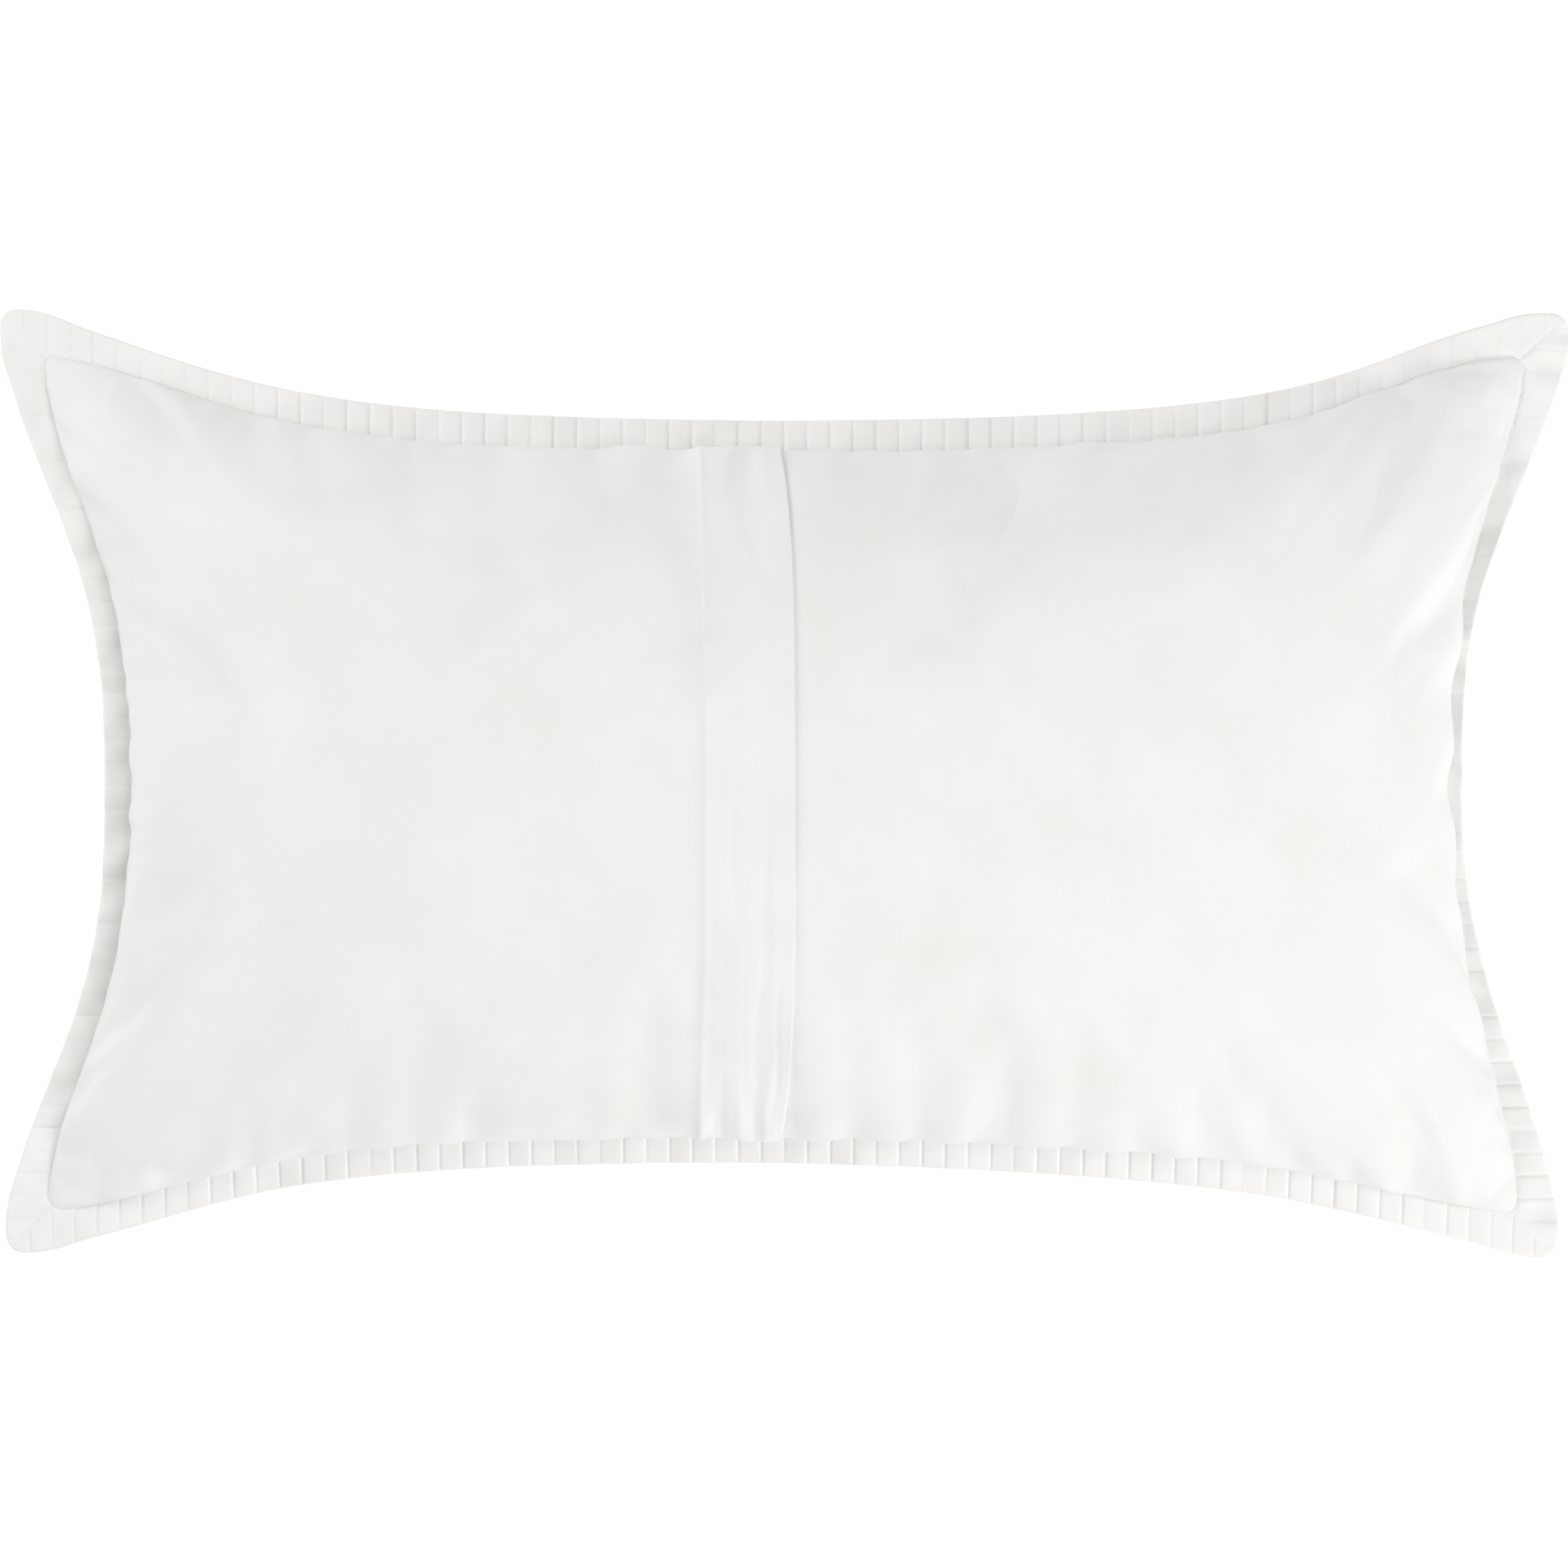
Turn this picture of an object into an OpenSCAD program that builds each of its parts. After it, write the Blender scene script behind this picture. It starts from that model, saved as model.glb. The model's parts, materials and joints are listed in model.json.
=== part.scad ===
// Flanged bed pillow: a filled insert inside a removable cover with an envelope closure.
//
// The pillow lies on its plain front with the closure side up. The origin is at the bottom
// centre of the whole part, +X runs along its length, +Y across it and +Z up. Millimetres.
//
// Every cloth layer of the body is the same domed surface at its own depth. A point on it
// is named by u along the length and v across the width, both from -1 to 1.

/* [Cover outline] */
// Length of the cover between its outer corners
overall_l = 920; // [860:1:980]
// Width of the cover between its outer corners
overall_w = 556; // [520:1:600]
// Width of the flange
flange_w = 26.5; // [22:0.5:32]
// How far the long edges draw in at their middles
long_sag = 59.5; // [40:0.5:70]
// How far the short edges draw in at their middles
short_sag = 61; // [40:0.5:70]
// Radius of the flange's outer corners
corner_r = 10; // [6:0.5:14]

/* [Filled body] */
// Height of the closure side's crown above the seam
back_loft = 102.6; // [70:0.2:120]
// Height of the seam above the surface that the pillow lies on
front_loft = 87; // [60:0.2:100]
// How broadly the front lies flat, where 1 is a bare point
flatness = 1.25; // [1.1:0.01:1.4]

/* [Cloth] */
// Thickness of one ply of cover cloth
ply_t = 0.5; // [0.3:0.05:0.6]
// Thickness of the ticking cloth of the insert
ticking_t = 0.5; // [0.3:0.05:0.6]
// Thickness of the flange's wadding
wadding_t = 1.8; // [1:0.1:3]

/* [Envelope closure] */
// Distance from the middle of the pillow to the over panel's folded edge
fold_x = 5; // [-5:1:15]
// Width of the doubled hem along that edge
hem_w = 55; // [45:1:60]
// Width of the overlap of the two back panels
overlap_w = 110; // [90:1:120]
// Thickness of the doubled hem
hem_t = 1.1; // [0.8:0.05:1.3]
// Gap between the overlapping panels
overlap_gap = 0.4; // [0.35:0.05:0.6]

/* [Stitching] */
// Spacing of the stitched channels that cross the flange
channel_pitch = 13.5; // [12:0.1:16]
// Width of a line of thread
thread_w = 0.5; // [0.3:0.05:0.7]
// Height of a line of thread above the cloth
thread_h = 0.3; // [0.15:0.05:0.35]

/* [Hidden] */

// Half sizes of the cover and of the body inside its flange
cover_hl = overall_l / 2;
cover_hw = overall_w / 2;
body_hl = cover_hl - flange_w;
body_hw = cover_hw - flange_w;

// Clearances that keep neighbouring layers apart
layer_gap = 0.1;
thread_gap = 0.15;
hinge_gap = 0.4;
mitre_gap = 0.15;
flange_gap = 0.3;

// Depth of each layer under the outside of the cover
tucked_depth = hem_t + overlap_gap;
ticking_depth = tucked_depth + ply_t + 0.7;
edge_seam_depth = ticking_depth - 0.2;
edge_seam_w = 1.4;
fill_depth = ticking_depth + ticking_t + 1.3;

// How far each layer's rim stands off the seam plane, more for the outer ones
cover_lift = 0.4;
ticking_lift = 0.3;
edge_seam_hh = 0.2;
fill_lift = 0.2;
seam_z = front_loft + cover_lift;

// Fullness of the dome along and across the pillow
dome_power_u = 2.5;
dome_root_u = 0.55;
dome_power_v = 2.1;
dome_root_v = 0.5;

// Lines of the surface grid, closer together where the surface curves most
u_steps = 12;
v_steps = 8;
flap_row = 3;
u_fold = fold_x / body_hl;
u_hem = (fold_x - hem_w) / body_hl;
u_under = (fold_x - overlap_w) / body_hl;
u_left = [for (i = [-u_steps : -3]) sin(90 * i / u_steps)];
u_right = [for (i = [1 : u_steps]) sin(90 * i / u_steps)];
u_lines = concat(u_left, [u_under, u_hem, u_fold], u_right);
v_lines = [for (j = [-v_steps : v_steps]) sin(90 * j / v_steps)];
over_lines = concat(u_left, [u_under, u_hem, u_fold]);
under_lines = concat([u_under, u_hem, u_fold], u_right);

// Colours
sateen = [0.94, 0.935, 0.92];
flange_white = [0.92, 0.91, 0.89];
ticking_white = [0.96, 0.96, 0.95];
fill_white = [0.98, 0.98, 0.98];
thread_white = [0.97, 0.965, 0.95];

// Rise of a long edge from its middle (0) to its corner (1)
function long_rise(u) =
    0.35 * pow(abs(u), 1.8) + 0.65 * pow(sin(90 * pow(abs(u), 2.7)), 2);

// Rise of a short edge from its middle (0) to its corner (1)
function short_rise(v) = pow(sin(90 * pow(abs(v), 1.4)), 2);

// Fullness of the body over a point, from 0 at the seam to 1 at the crown
function dome(u, v) =
    pow(max(0, 1 - pow(abs(u), dome_power_u)), dome_root_u)
    * pow(max(0, 1 - pow(abs(v), dome_power_v)), dome_root_v);

// Place in plan of a point at a depth under the outside of the cover
function plan_x(u, v, depth) =
    u * (body_hl - depth - short_sag * (1 - short_rise(v)) * abs(u));
function plan_y(u, v, depth) =
    v * (body_hw - depth - long_sag * (1 - long_rise(u)) * abs(v));

// Point of the closure side at a depth, its rim lifted off the seam plane
function back_point(u, v, depth, lift) =
    [plan_x(u, v, depth), plan_y(u, v, depth), seam_z + lift + (back_loft - depth) * dome(u, v)];

// How far the front reaches from the seam plane at a depth, pressed flat where it is lain on
function front_reach(u, v, depth, lift) =
    lift + (front_loft - depth) * min(flatness * dome(u, v), 1);

// Point of the front at a depth, with the seam plane at zero and the front turned upwards
function upturned_front_point(u, v, depth, lift) =
    [plan_x(u, v, depth), plan_y(u, v, depth), front_reach(u, v, depth, lift)];

// Point of the front at a depth, in place
function front_point(u, v, depth, lift) =
    [plan_x(u, v, depth), plan_y(u, v, depth), seam_z - front_reach(u, v, depth, lift)];

// Depth of the over panel's inside, which its doubled hem makes thicker
function over_inside(u) = u < u_hem ? ply_t : hem_t;

// Depth of the under panel's outside: tucked in as far as the fold, then easing up to flush
function under_outside(u) =
    tucked_depth * min(max((u_right[0] - u) / (u_right[0] - u_fold), 0), 1);

// The four edges of a grid cell, each with the cell on its other side
function cell_edges(i, j) = [
    [[i, j], [i, j + 1], [i - 1, j]],
    [[i, j + 1], [i + 1, j + 1], [i, j + 1]],
    [[i + 1, j + 1], [i + 1, j], [i + 1, j]],
    [[i + 1, j], [i, j], [i, j - 1]]
];

// Solid between two surfaces over a grid of u and v lines, where kept() picks the cells
module layer_solid(top, bottom, us = u_lines, vs = v_lines, kept = function(i, j) true) {
    nu = len(us);
    nv = len(vs);
    filled = function(i, j) i >= 0 && j >= 0 && i < nu - 1 && j < nv - 1 && kept(i, j);
    upper = function(p) p[0] * nv + p[1];
    lower = function(p) nu * nv + p[0] * nv + p[1];
    points = concat(
        [for (u = us, v = vs) top(u, v)],
        [for (u = us, v = vs) bottom(u, v)]
    );
    faces = [
        for (i = [0 : nu - 2], j = [0 : nv - 2])
            if (filled(i, j))
                let (a = [i, j], b = [i, j + 1], c = [i + 1, j + 1], d = [i + 1, j])
                each concat(
                    [[upper(a), upper(b), upper(c)], [upper(a), upper(c), upper(d)]],
                    [[lower(c), lower(b), lower(a)], [lower(d), lower(c), lower(a)]],
                    [
                        for (e = cell_edges(i, j))
                            if (!filled(e[2][0], e[2][1]))
                                each [
                                    [upper(e[1]), upper(e[0]), lower(e[0])],
                                    [upper(e[1]), lower(e[0]), lower(e[1])]
                                ]
                    ]
                )
    ];
    polyhedron(points = points, faces = faces, convexity = 6);
}

// One layer of cloth over the whole front
module front_layer(depth, thickness, lift) {
    translate([0, 0, seam_z])
        mirror([0, 0, 1])
            layer_solid(
                function(u, v) upturned_front_point(u, v, depth, lift),
                function(u, v) upturned_front_point(u, v, depth + thickness, lift)
            );
}

// Outline of the body at a depth, corner to corner along each edge in turn
function body_outline(depth) =
    let (last_u = len(u_lines) - 1, last_v = len(v_lines) - 1)
    concat(
        [for (i = [0 : last_u]) [plan_x(u_lines[i], 1, depth), plan_y(u_lines[i], 1, depth)]],
        [for (j = [1 : last_v]) [plan_x(1, -v_lines[j], depth), plan_y(1, -v_lines[j], depth)]],
        [for (i = [1 : last_u]) [plan_x(-u_lines[i], -1, depth), plan_y(-u_lines[i], -1, depth)]],
        [for (j = [1 : last_v - 1]) [plan_x(-1, v_lines[j], depth), plan_y(-1, v_lines[j], depth)]]
    );

// Flat band between two depths of the body outline
module outline_band(outer_depth, inner_depth, z, height) {
    translate([0, 0, z])
        linear_extrude(height)
            difference() {
                polygon(body_outline(outer_depth));
                polygon(body_outline(inner_depth));
            }
}

// Distance of a flange's seam edge and outer edge from the middle, at a place along it.
// A long flange takes its curve from long_rise and a short one from short_rise.
function seam_edge(at, half, depth_half, sag, rise) =
    abs(at) <= half
    ? depth_half - sag * (1 - rise(at / half)) + flange_gap
    : depth_half + flange_gap + (abs(at) - half);
function outer_edge(at, half, depth_half, sag, rise) =
    depth_half - sag * (1 - rise(at / half));

// Outline of one flange as seen with its own edge upwards, mitred at both ends
function flange_outline(half, depth_half, sag, rise, lines) =
    let (
        inner_half = half - flange_w,
        inner_depth = depth_half - flange_w,
        seam_side = [
            for (t = lines)
                [
                    t * (inner_half - mitre_gap),
                    seam_edge(t * inner_half, inner_half, inner_depth, sag, rise)
                ]
        ],
        straight_half = half - corner_r,
        outer_side = [
            for (t = lines)
                if (abs(t * half) < straight_half - 1)
                    [t * half, outer_edge(t * half, half, depth_half, sag, rise)]
        ],
        corner_y = depth_half - corner_r,
        arc_angles = [45, 60, 75, 90],
        right_arc = [
            for (a = arc_angles)
                [straight_half + corner_r * cos(a) - mitre_gap, corner_y + corner_r * sin(a)]
        ]
    )
    concat(
        seam_side,
        right_arc,
        [for (i = [len(outer_side) - 1 : -1 : 0]) outer_side[i]],
        [for (i = [len(right_arc) - 1 : -1 : 0]) [-right_arc[i][0], right_arc[i][1]]]
    );

// One ply of one flange, turned to its own side of the pillow
module long_flange(turn, z, height) {
    rotate([0, 0, turn])
        translate([0, 0, seam_z + z])
            linear_extrude(height)
                polygon(flange_outline(cover_hl, cover_hw, long_sag, function(t) long_rise(t), u_lines));
}
module short_flange(turn, z, height) {
    rotate([0, 0, turn])
        translate([0, 0, seam_z + z])
            linear_extrude(height)
                polygon(flange_outline(cover_hw, cover_hl, short_sag, function(t) short_rise(t), v_lines));
}

// Heights of the flange's three layers and of the thread on its two faces
wadding_z = -wadding_t / 2;
back_ply_z = wadding_t / 2 + layer_gap;
front_ply_z = -back_ply_z - ply_t;
back_thread_z = back_ply_z + ply_t + layer_gap / 2;
front_thread_z = -back_thread_z - thread_h;

// Lines of thread across one flange, on both of its faces
module channel_threads(half, depth_half, sag, rise) {
    count = floor((half - corner_r) / channel_pitch);
    inset = 2;
    for (k = [-count : count]) {
        at = k * channel_pitch;
        from = seam_edge(at, half - flange_w, depth_half - flange_w, sag, rise) + inset + thread_w;
        to = outer_edge(at, half, depth_half, sag, rise) - inset;
        if (to - from > inset)
            for (z = [back_thread_z, front_thread_z])
                translate([at - thread_w / 2, from, seam_z + z])
                    cube([thread_w, to - from, thread_h]);
    }
}
module long_channel_threads(turn) {
    rotate([0, 0, turn])
        channel_threads(cover_hl, cover_hw, long_sag, function(t) long_rise(t));
}
module short_channel_threads(turn) {
    rotate([0, 0, turn])
        channel_threads(cover_hw, cover_hl, short_sag, function(t) short_rise(t));
}

// A line of thread that lies on the closure side, just short of the seams
module thread_across(u, cloth_depth) {
    half = thread_w / 2 / body_hl;
    bottom_depth = cloth_depth - thread_gap;
    layer_solid(
        function(u, v) back_point(u, v, bottom_depth - thread_h, cover_lift),
        function(u, v) back_point(u, v, bottom_depth, cover_lift),
        us = [u - half, u + half],
        vs = [for (j = [1 : len(v_lines) - 2]) v_lines[j]]
    );
}

// ---- Insert ----

// Soft fibre filling of the insert
module fill_core() {
    color(fill_white)
        layer_solid(
            function(u, v) back_point(u, v, fill_depth, fill_lift),
            function(u, v) front_point(u, v, fill_depth, fill_lift)
        );
}

// Ticking panel of the insert on the pillow's front
module insert_ticking_front() {
    color(ticking_white) front_layer(ticking_depth, ticking_t, ticking_lift);
}

// Ticking panel of the insert on the closure side
module insert_ticking_back() {
    color(ticking_white)
        layer_solid(
            function(u, v) back_point(u, v, ticking_depth, ticking_lift),
            function(u, v) back_point(u, v, ticking_depth + ticking_t, ticking_lift)
        );
}

// Sewn edge that joins the insert's two ticking panels
module insert_edge_seam() {
    color(thread_white)
        outline_band(
            edge_seam_depth,
            edge_seam_depth + edge_seam_w,
            seam_z - edge_seam_hh,
            2 * edge_seam_hh
        );
}

// ---- Cover panels ----

// Front panel, in one piece, which the pillow lies on
module front_panel() {
    color(sateen) front_layer(0, ply_t, cover_lift);
}

// Left back panel, which lies over the right one and stops at the flap
module back_panel_over() {
    hem_column = len(over_lines) - 2;
    color(sateen)
        layer_solid(
            function(u, v) back_point(u, v, 0, cover_lift),
            function(u, v) back_point(u, v, over_inside(u), cover_lift),
            us = over_lines,
            kept = function(i, j) i < hem_column || j < v_steps - flap_row || j >= v_steps + flap_row
        );
}

// Middle of the over panel's doubled hem, which lifts to open the closure
module closure_flap() {
    edge = v_lines[v_steps + flap_row] - hinge_gap / body_hw;
    rows = [for (j = [-flap_row : flap_row]) max(min(v_lines[v_steps + j], edge), -edge)];
    color(sateen)
        layer_solid(
            function(u, v) back_point(u, v, 0, cover_lift),
            function(u, v) back_point(u, v, hem_t, cover_lift),
            us = [u_hem + hinge_gap / body_hl, u_fold],
            vs = rows
        );
}

// Right back panel, whose hemmed edge is tucked under the over panel
module back_panel_under() {
    color(sateen)
        layer_solid(
            function(u, v) back_point(u, v, under_outside(u), cover_lift),
            function(u, v) back_point(u, v, under_outside(u) + ply_t, cover_lift),
            us = under_lines
        );
}

// ---- Flange ----

module flange_top_back_ply() { color(flange_white) long_flange(0, back_ply_z, ply_t); }
module flange_top_wadding() { color(fill_white) long_flange(0, wadding_z, wadding_t); }
module flange_top_front_ply() { color(flange_white) long_flange(0, front_ply_z, ply_t); }
module flange_bottom_back_ply() { color(flange_white) long_flange(180, back_ply_z, ply_t); }
module flange_bottom_wadding() { color(fill_white) long_flange(180, wadding_z, wadding_t); }
module flange_bottom_front_ply() { color(flange_white) long_flange(180, front_ply_z, ply_t); }
module flange_left_back_ply() { color(flange_white) short_flange(90, back_ply_z, ply_t); }
module flange_left_wadding() { color(fill_white) short_flange(90, wadding_z, wadding_t); }
module flange_left_front_ply() { color(flange_white) short_flange(90, front_ply_z, ply_t); }
module flange_right_back_ply() { color(flange_white) short_flange(-90, back_ply_z, ply_t); }
module flange_right_wadding() { color(fill_white) short_flange(-90, wadding_z, wadding_t); }
module flange_right_front_ply() { color(flange_white) short_flange(-90, front_ply_z, ply_t); }

// ---- Stitching ----

module channel_stitching_top() { color(thread_white) long_channel_threads(0); }
module channel_stitching_bottom() { color(thread_white) long_channel_threads(180); }
module channel_stitching_left() { color(thread_white) short_channel_threads(90); }
module channel_stitching_right() { color(thread_white) short_channel_threads(-90); }

// Line of stitches that closes the flange off from the body, beside the seam
module seam_stitching() {
    beside_seam = 1.2;
    color(thread_white)
        outline_band(
            -beside_seam - thread_w,
            -beside_seam,
            seam_z + back_thread_z,
            thread_h
        );
}

// Diagonal lines of stitches on the flange's four mitres
module mitre_stitching() {
    from_corner = 4;
    run = flange_w * sqrt(2) - 2 * from_corner - corner_r * (sqrt(2) - 1);
    color(thread_white)
        for (sx = [-1, 1], sy = [-1, 1])
            translate([sx * body_hl, sy * body_hw, seam_z + back_thread_z])
                rotate([0, 0, atan2(sy, sx)])
                    translate([from_corner, -thread_w / 2, 0])
                        cube([run, thread_w, thread_h]);
}

// Line of stitches that holds the over panel's hem down
module over_hem_stitching() {
    beside_hem = 2.5;
    u = u_hem - beside_hem / body_hl;
    color(thread_white) thread_across(u, 0);
}

// Line of stitches that holds the under panel's hidden hem down
module under_hem_stitching() {
    hidden_hem_w = 20;
    color(thread_white) thread_across(u_under + hidden_hem_w / body_hl, tucked_depth);
}

fill_core();
insert_ticking_front();
insert_ticking_back();
insert_edge_seam();
front_panel();
back_panel_over();
closure_flap();
back_panel_under();
flange_top_back_ply();
flange_top_wadding();
flange_top_front_ply();
flange_bottom_back_ply();
flange_bottom_wadding();
flange_bottom_front_ply();
flange_left_back_ply();
flange_left_wadding();
flange_left_front_ply();
flange_right_back_ply();
flange_right_wadding();
flange_right_front_ply();
channel_stitching_top();
channel_stitching_bottom();
channel_stitching_left();
channel_stitching_right();
seam_stitching();
mitre_stitching();
over_hem_stitching();
under_hem_stitching();
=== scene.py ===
"""Flanged bed pillow: a filled insert in a cotton cover with an envelope closure and a quilted flange.

The pillow lies on its plain front with the closure up. Every layer of the body's cloth is a
surface of two parameters, u along the pillow and v across it, each from -1 at one seam to 1 at
the other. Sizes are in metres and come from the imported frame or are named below.
"""

import json
import logging
from collections.abc import Callable
from dataclasses import dataclass
from enum import Enum

import bpy
import numpy as np
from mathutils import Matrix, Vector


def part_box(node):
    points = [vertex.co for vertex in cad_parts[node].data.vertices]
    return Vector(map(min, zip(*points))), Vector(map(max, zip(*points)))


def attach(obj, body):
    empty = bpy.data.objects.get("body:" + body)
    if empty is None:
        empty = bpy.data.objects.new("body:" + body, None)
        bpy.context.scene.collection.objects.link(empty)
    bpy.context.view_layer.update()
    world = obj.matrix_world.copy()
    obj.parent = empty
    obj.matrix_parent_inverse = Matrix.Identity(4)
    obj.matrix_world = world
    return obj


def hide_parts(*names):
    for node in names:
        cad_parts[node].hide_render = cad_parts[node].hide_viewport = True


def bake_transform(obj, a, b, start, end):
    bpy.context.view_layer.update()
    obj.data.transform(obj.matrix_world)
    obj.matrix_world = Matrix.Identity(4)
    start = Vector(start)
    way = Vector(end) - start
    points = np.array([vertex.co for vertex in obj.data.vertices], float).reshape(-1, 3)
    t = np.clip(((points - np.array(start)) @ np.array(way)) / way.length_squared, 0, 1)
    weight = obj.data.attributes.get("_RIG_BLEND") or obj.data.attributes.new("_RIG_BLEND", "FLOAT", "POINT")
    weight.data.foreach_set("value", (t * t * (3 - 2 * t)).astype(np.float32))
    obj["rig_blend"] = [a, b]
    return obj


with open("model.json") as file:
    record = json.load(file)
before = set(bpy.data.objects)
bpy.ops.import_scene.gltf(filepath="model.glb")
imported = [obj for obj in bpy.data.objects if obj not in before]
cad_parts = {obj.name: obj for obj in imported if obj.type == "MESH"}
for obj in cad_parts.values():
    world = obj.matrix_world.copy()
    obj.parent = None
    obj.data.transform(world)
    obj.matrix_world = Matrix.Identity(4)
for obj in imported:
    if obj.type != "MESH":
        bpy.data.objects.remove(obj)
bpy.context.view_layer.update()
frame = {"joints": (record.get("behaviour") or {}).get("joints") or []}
LOG = logging.getLogger("pillow")
Array = np.ndarray
MM = 0.001
PILLOW, FLAP = "pillow", "flap"
CLOTH_UV = "cloth"
# Half the size of the body's flat cloth, cut 914 x 508 mm
FLAT_HALF_LENGTH = 457 * MM
FLAT_HALF_WIDTH = 254 * MM


# ---- Shape functions ----


def long_rise(u: Array) -> Array:
    """Rises along a long edge from 0 at its middle to 1 at a corner.

    Formula: 0.35 of the 1.8th power of the distance, plus 0.65 of a squared sine that levels
    off towards the corner.

    Args:
        u: Places along the edge, from -1 to 1.

    Returns:
        The rise at each place.
    """
    a = np.minimum(np.abs(u), 1.0)
    return 0.35 * a**1.8 + 0.65 * np.sin(np.pi / 2 * a**2.7) ** 2


def short_rise(v: Array) -> Array:
    """Rises along a short edge from 0 at its middle to 1 at a corner, as a squared sine.

    Args:
        v: Places along the edge, from -1 to 1.

    Returns:
        The rise at each place.
    """
    return np.sin(np.pi / 2 * np.minimum(np.abs(v), 1.0) ** 1.4) ** 2


def smooth(t: Array) -> Array:
    """Eases from 0 to 1 as three t squared less two t cubed."""
    t = np.clip(t, 0.0, 1.0)
    return t * t * (3 - 2 * t)


def hump(x: Array, centre: Array | float, width: float) -> Array:
    """Gives a bell of height 1 at centre that falls off over width."""
    return np.exp(-(((x - centre) / width) ** 2))


def crowd(a: Array) -> Array:
    """Crowds even grid lines towards both seams: a mix of the line itself and its quarter sine."""
    share = 0.8
    return (1 - share) * a + share * np.sin(np.pi / 2 * a)


def uncrowd(u: Array) -> Array:
    """Undoes crowd by looking it up."""
    table = np.linspace(-1, 1, 4001)
    return np.interp(u, crowd(table), table)


def waves(x: Array, wavelength: float, seed: int, count: int = 7) -> Array:
    """Makes a random wavy line of about unit height: a sum of sines of nearby wavelengths.

    Args:
        x: Places along the line.
        wavelength: Typical length of a wave.
        seed: Picks the pattern.
        count: How many sines are added.

    Returns:
        The height at each place.
    """
    rng = np.random.default_rng(seed)
    phases = rng.uniform(0, 2 * np.pi, count)
    stretches = rng.uniform(0.6, 1.9, count)
    total = np.zeros(np.shape(x))
    for phase, stretch in zip(phases, stretches):
        total = total + np.sin(2 * np.pi * x / (wavelength * stretch) + phase)
    return total / np.sqrt(count / 2)


def ripple(x: Array, y: Array, wavelength: float, seed: int, count: int = 9) -> Array:
    """Makes soft random waves: a sum of sines in random directions, of about unit height.

    Args:
        x: First coordinate of each place.
        y: Second coordinate of each place.
        wavelength: Typical length of a wave.
        seed: Picks the pattern.
        count: How many sines are added.

    Returns:
        The height at each place.
    """
    rng = np.random.default_rng(seed)
    headings = rng.uniform(0, 2 * np.pi, count)
    phases = rng.uniform(0, 2 * np.pi, count)
    stretches = rng.uniform(0.7, 1.5, count)
    total = np.zeros(np.broadcast(x, y).shape)
    for heading, phase, stretch in zip(headings, phases, stretches):
        travel = x * np.cos(heading) + y * np.sin(heading)
        total = total + np.sin(2 * np.pi / (wavelength * stretch) * travel + phase)
    return total / np.sqrt(count / 2)


def unit(vectors: Array) -> Array:
    """Scales vectors to length one."""
    return vectors / np.maximum(np.linalg.norm(vectors, axis=-1, keepdims=True), 1e-12)


def square_to(heading: Array, way: Array) -> Array:
    """Turns a way until it is square to each heading."""
    return unit(way - heading * np.sum(way * heading, axis=-1, keepdims=True))


def normals_of(points: Array) -> Array:
    """Finds the normal at each point of a grid from the slopes along its two ways."""
    return unit(np.cross(np.gradient(points, axis=0), np.gradient(points, axis=1)))


def blur(field: Array, passes: int) -> Array:
    """Softens a grid of vectors.

    Formula: each pass mixes in a quarter of both neighbours, along the first way and then along
    the second. Past the rim a point is its own neighbour.

    Args:
        field: Grid of vectors.
        passes: How often the mixing is repeated.

    Returns:
        The softened grid.
    """
    for _ in range(passes):
        for axis in (0, 1):
            last = field.shape[axis] - 1
            places = np.arange(last + 1)
            before = np.take(field, np.maximum(places - 1, 0), axis)
            after = np.take(field, np.minimum(places + 1, last), axis)
            field = field / 2 + (before + after) / 4
    return field


def sample(field: Array, a: Array, b: Array) -> Array:
    """Reads an even grid of vectors between its points.

    Formula: a Catmull-Rom cubic through the four nearest grid lines along each way.

    Args:
        field: Grid of vectors that spans -1 to 1 along both ways.
        a: Places along the first way.
        b: Places along the second way.

    Returns:
        The vector at each place.
    """
    index, weight = [], []
    for place, count in ((a, field.shape[0]), (b, field.shape[1])):
        at = (np.clip(place, -1, 1) + 1) / 2 * (count - 1)
        base = np.clip(np.floor(at), 0, count - 2).astype(int)
        t = at - base
        cubic = [-t + 2 * t**2 - t**3, 2 - 5 * t**2 + 3 * t**3, t + 4 * t**2 - 3 * t**3, -(t**2) + t**3]
        index.append(np.clip(base[..., None] + np.arange(-1, 3), 0, count - 1))
        weight.append(np.stack(cubic, axis=-1) / 2)
    near = field[index[0][..., :, None], index[1][..., None, :]]
    return np.einsum("...ijk,...i,...j->...k", near, *weight)


class Side(Enum):
    """The two sides of the pillow, as the way each faces."""

    BACK = 1
    FRONT = -1


SIDE_WORDS = {Side.BACK: "back", Side.FRONT: "front"}


# ---- Meshes ----


def cells(index: Array) -> Array:
    """Lists the four corners of every cell of a grid of vertex numbers."""
    corners = [index[:-1, :-1], index[1:, :-1], index[1:, 1:], index[:-1, 1:]]
    return np.stack(corners, axis=-1).reshape(-1, 4)


def flat_places(u: Array, v: Array) -> Array:
    """Lists the points' places on the body's flat cloth, in metres."""
    return np.stack([u * FLAT_HALF_LENGTH, v * FLAT_HALF_WIDTH], axis=-1).reshape(-1, 2)


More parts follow.
